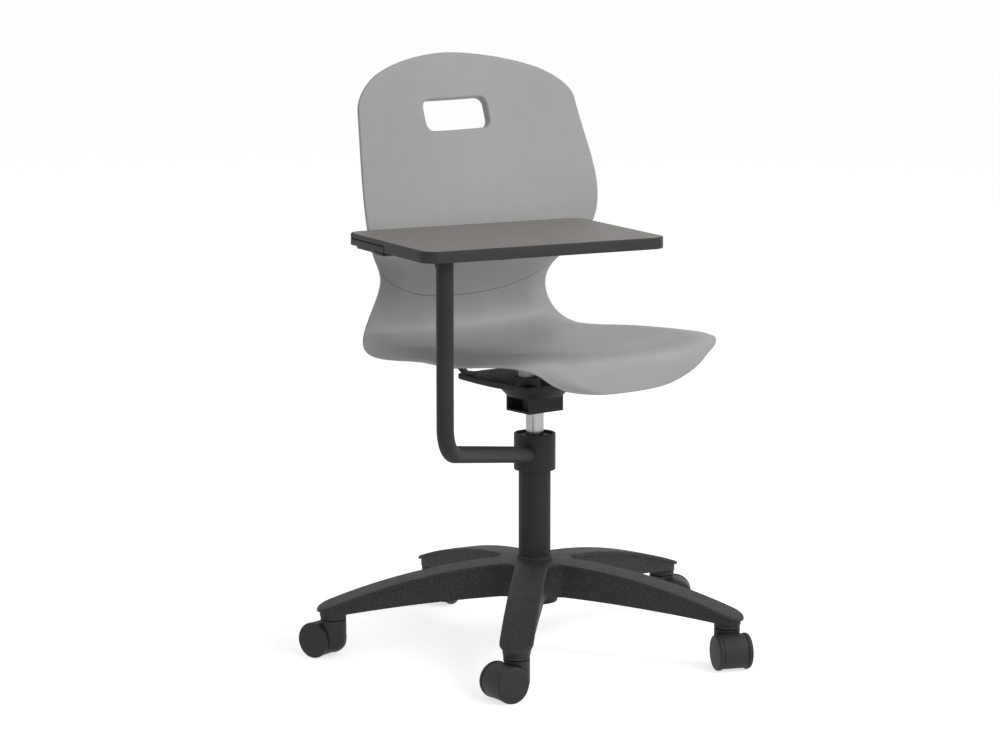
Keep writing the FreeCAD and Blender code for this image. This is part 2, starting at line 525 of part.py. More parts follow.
def fuse(name, pieces):
    """Joins pieces into one."""
    obj = doc.addObject("Part::MultiFuse", name)
    obj.Shapes = pieces
    return obj


def common(name, pieces):
    """Keeps what all pieces share."""
    obj = doc.addObject("Part::MultiCommon", name)
    obj.Shapes = pieces
    return obj


def group(name, pieces):
    """Gathers pieces without joining them."""
    obj = doc.addObject("Part::Compound", name)
    obj.Links = pieces
    return obj


def origin_plane(body, role):
    """Returns the origin plane of a body by its role."""
    return next(item for item in body.Origin.OriginFeatures if item.Role == role)


def sketch_on(body, role, name, height=0):
    """Adds a sketch on an origin plane of a body, lifted by a height along the plane's normal."""
    sketch = body.newObject("Sketcher::SketchObject", name)
    sketch.AttachmentSupport = [(origin_plane(body, role), "")]
    sketch.MapMode = "FlatFace"
    if isinstance(height, Size):
        bind(sketch, "AttachmentOffset.Base.z", height)
    return sketch


def hold(sketch, kind, *geometry, size=None):
    """Adds one constraint; a size ties it to the sheet."""
    if size is None:
        return sketch.addConstraint(Sketcher.Constraint(kind, *geometry))
    index = sketch.addConstraint(Sketcher.Constraint(kind, *geometry, as_size(size).value))
    bind(sketch, f"Constraints[{index}]", size)
    return index


def pin(sketch, line, x, y):
    """Holds the start of a line at a place; a zero puts it on the sketch's axis."""
    for kind, axis, size in (("DistanceX", -2, x), ("DistanceY", -1, y)):
        if size is None:
            continue
        if as_size(size).value == 0:
            hold(sketch, "PointOnObject", line, 1, axis)
        else:
            hold(sketch, kind, -1, 1, line, 1, size=size)


def outline(sketch, points):
    """Draws a closed outline of straight lines and ties each corner to the sheet."""
    points = [(as_size(x), as_size(y)) for x, y in points]
    flat = [Vector(x.value, y.value, 0) for x, y in points]
    for start, end in zip(flat, flat[1:] + flat[:1]):
        sketch.addGeometry(Part.LineSegment(start, end), False)
    count = len(points)
    for line in range(count):
        hold(sketch, "Coincident", line, 2, (line + 1) % count, 1)
    pin(sketch, 0, *points[0])
    for line in range(1, count):
        (old_x, old_y), (x, y) = points[line - 1], points[line]
        same_x = old_x.text == x.text
        same_y = old_y.text == y.text
        if same_x:
            hold(sketch, "Vertical", line - 1)
        if same_y:
            hold(sketch, "Horizontal", line - 1)
        pin(sketch, line, None if same_x else x, None if same_y else y)


def rounded(body, feature, radius, picked):
    """Rounds the edges of a feature that a test picks."""
    doc.recompute()
    edges = [f"Edge{i}" for i, edge in enumerate(feature.Shape.Edges, start=1) if picked(edge)]
    fillet = body.newObject("PartDesign::Fillet", f"{body.Name}_round")
    fillet.Base = (feature, edges)
    bind(fillet, "Radius", radius)
    body.Tip = fillet
    return fillet


def ring_at(radius, height):
    """Returns a test for a round edge of a radius at a height."""
    radius, height = as_size(radius).value, as_size(height).value
    near = 0.01

    def test(edge):
        curve = edge.Curve
        if not isinstance(curve, Part.Circle):
            return False
        return abs(curve.Radius - radius) < near and abs(curve.Center.z - height) < near
    return test


def upright(edge):
    """Tells whether an edge is a straight line along Z."""
    if not isinstance(edge.Curve, Part.Line):
        return False
    direction = edge.Curve.Direction
    return abs(direction.x) + abs(direction.y) < 1e-6


def turned(name, points, rounds=(), at=(0, 0, 0), turn=0, axis=UP):
    """Turns an outline of (radius, height) corners about Z and rounds chosen rings."""
    body = doc.addObject("PartDesign::Body", name)
    sketch = sketch_on(body, "XZ_Plane", f"{name}_outline")
    outline(sketch, points)
    feature = body.newObject("PartDesign::Revolution", f"{name}_turned")
    feature.Profile = sketch
    feature.ReferenceAxis = (sketch, ["V_Axis"])
    feature.Angle = 360
    body.Tip = feature
    for radius, height, size in rounds:
        feature = rounded(body, feature, size, ring_at(radius, height))
    return place(body, at, turn, axis)


def tube(name, outer, inner, floor, top, rounds=()):
    """Turns a plain ring between two heights."""
    return turned(name, ((inner, floor), (outer, floor), (outer, top), (inner, top)), rounds)


def pad_of(body, sketch, name, length, middle=False):
    """Thickens a sketch, to one side or to both."""
    feature = body.newObject("PartDesign::Pad", name)
    feature.Profile = sketch
    feature.Length = as_size(length).value
    bind(feature, "Length", length)
    if middle:
        feature.SideType = "Symmetric"
    body.Tip = feature
    return feature


def plate(name, length, width, thickness, corner=None, edge=None, at=(0, 0, 0), turn=0, axis=UP):
    """Makes a plate round its own middle, from its own floor up, with rounded corners."""
    body = doc.addObject("PartDesign::Body", name)
    sketch = sketch_on(body, "XY_Plane", f"{name}_outline")
    x, y = as_size(length) * 0.5, as_size(width) * 0.5
    outline(sketch, ((-x, -y), (x, -y), (x, y), (-x, y)))
    feature = pad_of(body, sketch, f"{name}_pad", thickness)
    if corner is not None:
        feature = rounded(body, feature, corner, upright)
    if edge is not None:
        top = as_size(thickness).value
        feature = rounded(body, feature, edge, lambda e: all(
            abs(v.Point.z - top) < 1e-6 for v in e.Vertexes))
    return place(body, at, turn, axis)


def strip(name, points, width, at=(0, 0, 0), turn=0):
    """Makes a strip from its side view of (reach, height) corners, turned about Z."""
    body = doc.addObject("PartDesign::Body", name)
    sketch = sketch_on(body, "XZ_Plane", f"{name}_outline")
    outline(sketch, points)
    pad_of(body, sketch, f"{name}_pad", width, middle=True)
    return place(body, at, turn)


def prism(name, points, floor, height):
    """Raises a level outline from a height."""
    body = doc.addObject("PartDesign::Body", name)
    sketch = sketch_on(body, "XY_Plane", f"{name}_outline", floor)
    outline(sketch, points)
    pad_of(body, sketch, f"{name}_pad", height)
    return body


def around(distance, angle):
    """Returns the x and y of a place at a distance and an angle from the column."""
    return distance * cosine(angle), distance * sine(angle)


LEG_ANGLES = [s.leg_angle + 72 * leg for leg in range(5)]
HEADINGS = [s.heading_angle_1, s.heading_angle_2, s.heading_angle_3, s.heading_angle_4,
            s.heading_angle_5]


def star(name, half, end, concave=None):
    """Makes the raw block of five legs with round ends and, if asked, round inner corners."""
    body = doc.addObject("PartDesign::Body", name)
    sketch = sketch_on(body, "XY_Plane", f"{name}_outline", s.star_floor)
    w, r = half.value, end.value
    sketch.addGeometry(Part.LineSegment(Vector(0, -w, 0), Vector(r, -w, 0)), False)
    arc = Part.ArcOfCircle(Part.Circle(Vector(r, 0, 0), Vector(*UP), w), -math.pi / 2, math.pi / 2)
    sketch.addGeometry(arc, False)
    sketch.addGeometry(Part.LineSegment(Vector(r, w, 0), Vector(0, w, 0)), False)
    sketch.addGeometry(Part.LineSegment(Vector(0, w, 0), Vector(0, -w, 0)), False)
    for line in range(4):
        hold(sketch, "Coincident", line, 2, (line + 1) % 4, 1)
    hold(sketch, "Horizontal", 0)
    hold(sketch, "Horizontal", 2)
    hold(sketch, "PointOnObject", 0, 1, -2)
    hold(sketch, "PointOnObject", 2, 2, -2)
    hold(sketch, "PointOnObject", 1, 3, -1)
    hold(sketch, "Vertical", 1, 1, 1, 3)
    hold(sketch, "Vertical", 1, 2, 1, 3)
    hold(sketch, "DistanceX", -1, 1, 1, 3, size=end)
    hold(sketch, "Radius", 1, size=half)
    leg = pad_of(body, sketch, f"{name}_leg", s.star_height)
    pattern = body.newObject("PartDesign::PolarPattern", f"{name}_legs")
    pattern.Originals = [leg]
    pattern.Axis = (sketch, ["N_Axis"])
    pattern.Angle = 360
    pattern.Occurrences = 5
    body.Tip = pattern
    if concave is not None:
        corner = half.value / math.sin(math.pi / 5)
        rounded(body, pattern, concave, lambda e: upright(e) and abs(
            math.hypot(e.Vertexes[0].X, e.Vertexes[0].Y) - corner) < 0.05)
    return place(body, turn=s.leg_angle)


def star_base():
    """Builds the five-leg star with its hub, hollow legs and castor sockets."""
    dome_heart = s.dome_top - s.dome_radius
    flange = cut("flange", common("flange_raw", [
        star("flange_star", s.flange_half, s.socket_circle, s.flange_round),
        ball("dome", s.dome_radius, (0, 0, dome_heart))]),
        ball("dome_inside", s.dome_radius - s.flange_thickness, (0, 0, dome_heart)))
    box_lid = s.dome_radius - s.flange_thickness
    legs = common("legs_raw", [
        star("leg_star", s.web_half, s.socket_circle, s.web_round),
        ball("leg_lid", box_lid + s.web_overlap, (0, 0, dome_heart))])
    legs = cut("legs", legs, ball("belly", s.belly_radius, (0, 0, s.belly_top - s.belly_radius)))
    hollow = common("hollow_raw", [
        star("hollow_star", s.web_half - s.web_wall, s.cavity_end),
        ball("hollow_lid", box_lid - s.cavity_lid, (0, 0, dome_heart))])
    stays = [cylinder("hub_stay", s.hub_radius, s.star_height, (0, 0, s.star_floor))]
    for rib in range(4):
        radius = s.rib_first + s.rib_step * rib
        stays.append(cut(f"rib_{rib}",
                         cylinder(f"rib_{rib}_outside", radius + s.rib_thickness, s.star_height,
                                  (0, 0, s.star_floor)),
                         cylinder(f"rib_{rib}_inside", radius, s.star_height,
                                  (0, 0, s.star_floor))))
    hollow = cut("hollow", hollow, fuse("stays", stays))
    legs = cut("hollow_legs", legs, hollow)
    pieces = [flange, legs,
              cylinder("hub", s.hub_radius, s.hub_height, (0, 0, s.hub_floor)),
              cylinder("hub_ring", s.hub_ring_radius, s.hub_ring_height,
                       (0, 0, s.hub_ring_top - s.hub_ring_height))]
    holes = [cone("hub_bore", s.column_foot_radius + s.fit_gap, s.column_radius + s.fit_gap,
                  s.hub_ring_top - s.column_floor, (0, 0, s.column_floor))]
    sockets = []
    for leg, angle in enumerate(LEG_ANGLES, start=1):
        x, y = around(s.socket_circle, angle)
        sockets.append(cylinder(f"socket_{leg}", s.socket_radius, s.dome_top - s.socket_floor,
                                (x, y, s.socket_floor)))
        holes.append(cylinder(f"socket_bore_{leg}", s.stem_radius + s.fit_gap,
                              s.stem_top - s.socket_floor + s.fit_gap, (x, y, s.socket_floor)))
    pieces.append(common("sockets", [
        fuse("sockets_raw", sockets),
        ball("socket_lid", box_lid + s.web_overlap, (0, 0, dome_heart))]))
    return cut("star", fuse("star_solid", pieces), fuse("star_holes", holes))


def base_pieces():
    """Builds the pieces that stand still on the floor, without the stems."""
    foot = s.column_floor + s.column_plate
    bore = s.column_radius - s.column_wall
    foot_bore = s.column_foot_radius - s.column_wall
    hole = s.rod_radius + s.running_gap
    column = turned("column", (
        (hole, s.column_floor), (s.column_foot_radius, s.column_floor),
        (s.column_radius, s.hub_ring_top), (s.column_radius, s.column_top),
        (bore, s.column_top), (bore, s.hub_ring_top), (foot_bore, foot), (hole, foot)))
    lip_floor = s.column_top + s.fit_gap
    sleeve = turned("sleeve", (
        (s.cylinder_radius + s.fit_gap, s.sleeve_floor), (bore - s.fit_gap, s.sleeve_floor),
        (bore - s.fit_gap, lip_floor), (s.sleeve_lip_radius, lip_floor),
        (s.sleeve_lip_radius, lip_floor + s.sleeve_lip),
        (s.cylinder_radius + s.fit_gap, lip_floor + s.sleeve_lip)))
    washer_floor = foot + s.fit_gap
    washer = tube("lower_washer", s.washer_radius, hole, washer_floor, washer_floor + s.washer_height)
    return {"star_base": star_base(), "gas_column": column, "column_guide_sleeve": sleeve,
            "bearing_lower_washer": washer}


def rod_pieces():
    """Builds the rod of the gas lift and its thrust bearing."""
    lower = s.column_floor + s.column_plate + s.fit_gap + s.washer_height
    cage_floor = lower + s.running_gap
    cage_top = cage_floor + s.ball_radius * 2
    upper = cage_top + s.fit_gap
    upper_top = upper + s.washer_height
    inside = s.rod_radius + s.fit_gap
    shoulder = upper_top + s.fit_gap
    rod = turned("rod", (
        (0, s.rod_floor), (s.rod_radius, s.rod_floor), (s.rod_radius, shoulder),
        (s.rod_shoulder_radius, shoulder), (s.rod_shoulder_radius, shoulder + s.rod_shoulder_height),
        (s.rod_radius, shoulder + s.rod_shoulder_height), (s.rod_radius, s.rod_head_floor),
        (s.cylinder_bore - s.fit_gap, s.rod_head_floor),
        (s.cylinder_bore - s.fit_gap, s.rod_head_floor + s.rod_head_height),
        (0, s.rod_head_floor + s.rod_head_height)))
    cage_margin = s.ball_radius * 0.4
    ring = tube("cage_ring", s.cage_radius, inside, cage_floor + cage_margin, cage_top - cage_margin)
    balls = []
    for number in range(8):
        x, y = around(s.ball_circle, as_size(45 * number))
        balls.append(ball(f"bearing_ball_{number}", s.ball_radius, (x, y, cage_floor + s.ball_radius)))
    cage = fuse("cage", [ring] + balls)
    washer = tube("upper_washer", s.washer_radius, inside, upper, upper_top)
    clip_top = s.column_floor - s.running_gap
    clip = tube("clip", s.clip_radius, inside, clip_top - s.clip_height, clip_top)
    return {"piston_rod": rod, "bearing_ball_cage": cage, "bearing_upper_washer": washer,
            "rod_clip": clip}


def lift_pieces():
    """Builds the gas cylinder, its valve and the steel parts under the seat."""
    hole = s.rod_radius + s.fit_gap
    valve_hole = s.valve_radius + s.fit_gap
    gas = turned("gas", (
        (hole, s.cylinder_floor), (s.cylinder_radius, s.cylinder_floor),
        (s.cylinder_radius, s.cylinder_taper), (s.cylinder_top_radius, s.cylinder_top),
        (valve_hole, s.cylinder_top), (valve_hole, s.cylinder_top - s.cylinder_cap),
        (s.cylinder_bore, s.cylinder_top - s.cylinder_cap),
        (s.cylinder_bore, s.cylinder_floor + s.cylinder_end),
        (hole, s.cylinder_floor + s.cylinder_end)))
    valve = turned("valve", (
        (0, s.valve_floor), (s.valve_radius, s.valve_floor), (s.valve_radius, s.valve_top),
        (0, s.valve_top)), [(s.valve_radius, s.valve_top, s.valve_round)])
    x, y = s.box_length * 0.5, s.box_width * 0.5
    box = cut("box", block("box_outside", s.box_length, s.box_width, s.box_height,
                           (-x, -y, s.box_floor)),
              block("box_inside", s.box_length, s.box_width - s.box_wall * 2,
                    s.box_height - s.box_wall * 2, (-x, s.box_wall - y, s.box_floor + s.box_wall)))
    bush_hole = s.bush_radius + s.fit_gap
    box = cut("box_with_hole", box, cylinder("box_hole", bush_hole, s.box_height,
                                             (0, 0, s.box_floor)))
    bush = turned("bush", (
        (s.cylinder_radius + s.fit_gap, s.box_floor), (s.bush_radius, s.box_floor),
        (s.bush_radius, s.box_floor + s.bush_height),
        (s.cylinder_top_radius + s.fit_gap, s.box_floor + s.bush_height)))
    return {"gas_cylinder": gas, "valve_pin": valve, "lift_box": box, "taper_bush": bush}


PADS = (("front_left", 3, s.pad_front_floor), ("front_right", 2, s.pad_front_floor),
        ("rear_right", 1, s.pad_rear_floor), ("rear_left", 0, s.pad_rear_floor))


def pad_direction(quarter):
    """Returns the angle of a bracket arm, counted in quarter turns from the first."""
    return s.pad_angle + 90 * quarter


def bracket_arm(name, floor):
    """Builds one arm along +X: bent in its side view and tapered in its plan."""
    thickness = s.arm_thickness
    knee_floor = floor - s.pad_step
    side = strip(f"{name}_side", (
        (s.arm_root, s.arm_root_floor), (s.arm_knee, knee_floor), (s.arm_step, floor),
        (s.arm_tip, floor), (s.arm_tip, floor + thickness),
        (s.arm_step - thickness * 0.6, floor + thickness),
        (s.arm_knee - thickness * 0.4, knee_floor + thickness),
        (s.arm_root, s.arm_root_floor + s.dish_thickness)), s.arm_root_half * 2)
    root, waist, end = s.arm_root_half, s.arm_waist_half, s.arm_end_half
    plan = prism(f"{name}_plan", (
        (s.arm_root, -root), (s.arm_waist, -waist), (s.arm_knee, -end), (s.arm_tip, -end),
        (s.arm_tip, end), (s.arm_knee, end), (s.arm_waist, waist), (s.arm_root, root)),
        s.dish_floor, floor - s.dish_floor + thickness * 2)
    tip = s.arm_tip.value
    rounded(plan, plan.Tip, s.arm_corner, lambda e: upright(e) and abs(
        e.Vertexes[0].X - tip) < 0.01)
    return common(name, [side, plan])


def seat_bracket():
    """Builds the pressed dish with its four arms and the lugs for the lever."""
    top = s.dish_floor + s.dish_thickness
    inner_foot = s.dish_flat - s.dish_thickness * 0.35
    lip = s.dish_radius - s.dish_thickness * 0.5
    dish = turned("dish", (
        (s.bush_radius + s.fit_gap, s.dish_floor), (s.dish_flat, s.dish_floor),
        (s.dish_radius, s.dish_rim_floor), (s.dish_radius, s.dish_rim_floor + s.dish_thickness),
        (lip, s.dish_rim_floor + s.dish_thickness), (inner_foot, top),
        (s.bush_radius + s.fit_gap, top)))
    arms = [place(bracket_arm(f"bracket_arm_{name}", floor), turn=pad_direction(quarter))
            for name, quarter, floor in PADS]
    lugs = []
    for name, y in (("front", -(s.lug_gap * 0.5 + s.lug_thickness)), ("rear", s.lug_gap * 0.5)):
        lugs.append(block(f"lug_{name}", s.lug_length, s.lug_thickness, s.lug_height,
                          (s.lever_pivot - s.lug_length * 0.5, y, top)))
    solid = fuse("bracket_solid", [dish] + arms + lugs)
    half_pin = s.pin_length * 0.5
    holes = [cylinder("lug_hole", s.pin_radius + s.fit_gap, s.pin_length,
                      (s.lever_pivot, half_pin, s.lever_height), 90, ALONG_X),
             block("lever_notch", s.dish_radius, s.notch_half * 2, s.dish_radius,
                   (s.dish_flat, -s.notch_half, s.notch_floor))]
    for name, quarter, floor in PADS:
        x, y = around(s.pad_circle, pad_direction(quarter))
        holes.append(cylinder(f"pad_hole_{name}", s.screw_radius + s.fit_gap,
                              s.arm_thickness * 3, (x, y, floor - s.arm_thickness)))
    return cut("bracket", solid, fuse("bracket_holes", holes))


def screw(name, radius, length, head, cap):
    """Makes a screw that points up, with its head's lower face at zero."""
    return turned(name, ((0, 0), (head, 0), (head, cap), (radius, cap), (radius, cap + length),
                         (0, cap + length)))


class Course:
    """A natural cubic spline through values at stations."""

    def __init__(self, stations, values):
        self.stations = stations
        self.values = values
        last = len(stations) - 1
        steps = [b - a for a, b in zip(stations, stations[1:])]
        slopes = [(b - a) / step for a, b, step in zip(values, values[1:], steps)]
        upper, right = [0.0] * (last + 1), [0.0] * (last + 1)
        for i in range(1, last):
            pivot = 2 * (steps[i - 1] + steps[i]) - steps[i - 1] * upper[i - 1]
            upper[i] = steps[i] / pivot
            right[i] = (6 * (slopes[i] - slopes[i - 1]) - steps[i - 1] * right[i - 1]) / pivot
        self.bends = [0.0] * (last + 1)
        for i in range(last - 1, 0, -1):
            self.bends[i] = right[i] - upper[i] * self.bends[i + 1]

    def _span(self, at):
        last = len(self.stations) - 2
        index = sum(1 for station in self.stations[1:-1] if at > station)
        index = min(index, last)
        step = self.stations[index + 1] - self.stations[index]
        return index, step, (at - self.stations[index])

    def value(self, at):
        """Returns the spline's value."""
        i, step, d = self._span(at)
        bend, after = self.bends[i], self.bends[i + 1]
        slope = (self.values[i + 1] - self.values[i]) / step - step * (2 * bend + after) / 6
        return self.values[i] + d * (slope + d * (bend / 2 + d * (after - bend) / (6 * step)))

    def slope(self, at):
        """Returns the spline's slope."""
        i, step, d = self._span(at)
        bend, after = self.bends[i], self.bends[i + 1]
        slope = (self.values[i + 1] - self.values[i]) / step - step * (2 * bend + after) / 6
        return slope + d * (bend + d * (after - bend) / (2 * step))


def course(prefix, stations, kind, datum=0):
    """Reads one row of stations from the sheet and adds a datum to each value."""
    shares = [sheet.get(f"{prefix}_{name}_share") for name in stations]
    return Course(shares, [datum + sheet.get(f"{prefix}_{name}_{kind}") for name in stations])


class ShellForm:
    """The seat shell's surface: a profile in the middle plane, with a width and raised sides."""

    GRID_ROWS = 44
    GRID_COLUMNS = 28
    FRONT_CORNER_SHARE = 0.8
    TOP_CORNER_SHARE = 0.75
    CURL_START_SHARE = 0.72
    FRONT_BOW_SHARE = 0.2
    TOP_BOW_SHARE = 0.35

    def __init__(self):
        self.y = course("shell", PROFILE_STATIONS, "y")
        self.z = course("shell", PROFILE_STATIONS, "rise", sheet.get("dish_floor"))
        self.half = course("shell", PROFILE_STATIONS, "half")
        self.wrap = course("side", SIDE_STATIONS, "wrap")
        self.curl = course("side", SIDE_STATIONS, "curl")
        self.span = sheet.get("shell_wrap_span")
        self.front = sheet.get("shell_front_zone_share"), sheet.get("shell_front_power_share")
        self.top = sheet.get("shell_top_zone_share"), sheet.get("shell_top_power_share")

    @staticmethod
    def share_of_width(along, zone, power):
        """Returns how wide the outline is at a distance from its end, from 0 to 1."""
        rest = 1 - min(max(along / zone, 0), 1)
        return (1 - rest ** power) ** (1 / power)

    @staticmethod
    def share_of_length(across, zone, power):
        """Returns how far from its end the outline reaches a share of its width."""
        return zone * (1 - (1 - across ** power) ** (1 / power))

    def narrowing(self, u):
        """Returns the share of the full width that the rounded ends leave."""
        return self.share_of_width(u, *self.front) * self.share_of_width(1 - u, *self.top)

    def place_of(self, row, column):
        """Returns the profile share and the distance from the middle plane of a grid point."""
        first = self.share_of_length(self.FRONT_CORNER_SHARE, *self.front)
        last = self.share_of_length(self.TOP_CORNER_SHARE, *self.top)
        side = first + row * (1 - first - last)
        bow = self.share_of_length(self.FRONT_CORNER_SHARE * abs(column), *self.front) - first
        rise = last - self.share_of_length(self.TOP_CORNER_SHARE * abs(column), *self.top)
        u = side + bow * max(0, 1 - row / self.FRONT_BOW_SHARE) ** 2
        u += rise * max(0, 1 - (1 - row) / self.TOP_BOW_SHARE) ** 2
        return u, column * self.narrowing(side) * self.half.value(u)

    def point(self, row, column, depth):
        """Returns a point of the surface, a depth below the face one sits on."""
        u, x = self.place_of(row, column)
        share = self.narrowing(u)
        edge = share * self.half.value(u)
        across = min(1, abs(x) / edge) if edge > 0 else 1
        curl = (max(0, across - self.CURL_START_SHARE) / (1 - self.CURL_START_SHARE)) ** 2
        lift = self.wrap.value(u) * (x / self.span) ** 2 - self.curl.value(u) * curl * share - depth
        dy, dz = self.y.slope(u), self.z.slope(u)
        length = math.hypot(dy, dz)
        return Vector(x, self.y.value(u) - dz / length * lift, self.z.value(u) + dy / length * lift)

    def skin(self, depth):
        """Returns the smooth surface at a depth through a grid of points."""
        rows, columns = self.GRID_ROWS, self.GRID_COLUMNS
        grid = [[self.point(0.5 - 0.5 * math.cos(math.pi * r / rows), 2 * c / columns - 1, depth)
                 for c in range(columns + 1)] for r in range(rows + 1)]
        surface = Part.BSplineSurface()
        surface.interpolate(grid)
        return surface


def rims(surface):
    """Returns the four edges of a surface."""
    first_u, last_u, first_v, last_v = surface.bounds()
    curves = (surface.uIso(first_u), surface.uIso(last_u), surface.vIso(first_v), surface.vIso(last_v))
    return [curve.toShape() for curve in curves]


def raw_shell(form):
    """Builds the shell between its two skins, without slot or bosses."""
    face, back = form.skin(0), form.skin(sheet.get("shell_thickness"))
    sides = [Part.makeRuledSurface(a, b) for a, b in zip(rims(face), rims(back))]
    skin = Part.makeShell([face.toShape(), back.toShape()] + sides)
    skin.sewShape()
    solid = Part.makeSolid(skin)
    if solid.Volume < 0:
        solid.reverse()
    raw = doc.addObject("Part::Feature", "shell_raw")
    raw.Shape = solid
    return raw


def heights_of(raw, x, y):
    """Returns the heights of the shell's two faces over a place."""
    box = raw.Shape.BoundBox
    line = Part.makeLine(Vector(x, y, box.ZMin), Vector(x, y, box.ZMax))
    heights = [vertex.Z for vertex in line.common(raw.Shape).Vertexes]
    return min(heights), max(heights)


def slot_block(name, form, start, depth, margin):
    """Makes a block along the slot, from a depth behind the shell's face towards its front."""
    share = sheet.get("slot_share")
    lean = math.atan2(form.y.slope(share), form.z.slope(share))
    y = form.y.value(share) + start.value * math.cos(lean)
    z = form.z.value(share) - start.value * math.sin(lean)
    return plate(name, s.slot_length + margin * 2, s.slot_height + margin * 2, depth,
                 s.slot_corner + margin, at=(0, y, z), turn=90 - math.degrees(lean), axis=ALONG_X)


def seat_shell(form, raw):
    """Builds the one-piece shell with its slot and its four bosses."""
    collar = slot_block("slot_collar", form, s.slot_depth, s.slot_depth - s.slot_sink, s.slot_wall)
    slot = slot_block("slot", form, s.slot_depth + s.overrun, s.slot_depth + s.overrun * 3,
                      as_size(0))
    pieces = [cut("shell_with_slot", fuse("shell_with_collar", [raw, collar]), slot)]
    holes = []
    for name, quarter, pad_floor in PADS:
        x, y = around(s.pad_circle, pad_direction(quarter))
        floor = pad_floor + s.arm_thickness + s.fit_gap
        middle = sum(heights_of(raw, x.value, y.value)) / 2
        pieces.append(cylinder(f"boss_{name}", s.boss_radius, middle - floor, (x, y, floor)))
        holes.append(cylinder(f"boss_hole_{name}", s.screw_radius + s.fit_gap,
                              s.screw_length - s.arm_thickness + s.fit_gap, (x, y, floor)))
    return cut("shell", fuse("shell_solid", pieces), fuse("shell_holes", holes))


def shell_buffer(name, raw, side):
    """Makes a buffer that sits under the shell at one side."""
    radius, back = s.buffer_radius.value, s.buffer_back.value
    spots = ((0, 0), (radius, 0), (-radius, 0), (0, radius), (0, -radius))
    lowest = min(heights_of(raw, side.value + x, back + y)[0] for x, y in spots)
    floor = lowest - s.buffer_drop - s.buffer_height
    return cylinder(name, s.buffer_radius, s.buffer_height, (side, s.buffer_back, floor))


def seat_pieces():
    """Builds the shell and what fixes it to the bracket."""
    form = ShellForm()
    raw = raw_shell(form)
    screws = []
    for name, quarter, pad_floor in PADS:
        x, y = around(s.pad_circle, pad_direction(quarter))
        one = screw(f"shell_screw_{name}", s.screw_radius, s.screw_length, s.screw_head_radius,
                    s.screw_head_height)
        screws.append(place(one, (x, y, pad_floor - s.screw_head_height - s.fit_gap)))
    buffers = [shell_buffer("buffer_left", raw, -s.buffer_side),
               shell_buffer("buffer_right", raw, s.buffer_side)]
    pin = cylinder("pivot_pin", s.pin_radius, s.pin_length,
                   (s.lever_pivot, s.pin_length * 0.5, s.lever_height), 90, ALONG_X)
    return {"seat_bracket": seat_bracket(), "seat_shell": seat_shell(form, raw),
            "shell_screws": group("screws_of_shell", screws),
            "shell_buffers": group("buffers_of_shell", buffers), "lever_pivot_pin": pin}


def lever_pieces():
    """Builds the height lever and its grip."""
    rod = cylinder("lever_rod", s.lever_radius, s.lever_tip + s.lever_reach,
                   (-s.lever_tip, 0, s.lever_height), 90, ALONG_Y)
    half_eye = (s.lug_gap * 0.5) - s.running_gap
    eye = cylinder("lever_eye", s.lever_eye_radius, half_eye * 2,
                   (s.lever_pivot, half_eye, s.lever_height), 90, ALONG_X)
    hole = cylinder("lever_hole", s.pin_radius + s.fit_gap, s.pin_length,
                    (s.lever_pivot, s.pin_length * 0.5, s.lever_height), 90, ALONG_X)
    lever = cut("lever", fuse("lever_solid", [rod, eye]), hole)
    middle = s.grip_start + s.grip_length * 0.5
    grip = plate("grip_block", s.grip_length, s.grip_width, s.grip_height, s.grip_round,
                 s.grip_edge, (middle, 0, s.lever_height - s.grip_height * 0.5))
    grip_hole = cylinder("grip_hole", s.lever_radius + s.fit_gap,
                         s.lever_reach - s.grip_start + s.fit_gap,
                         (s.grip_start, 0, s.lever_height), 90, ALONG_Y)
    return {"lift_lever": lever, "lever_grip": cut("grip", grip, grip_hole)}


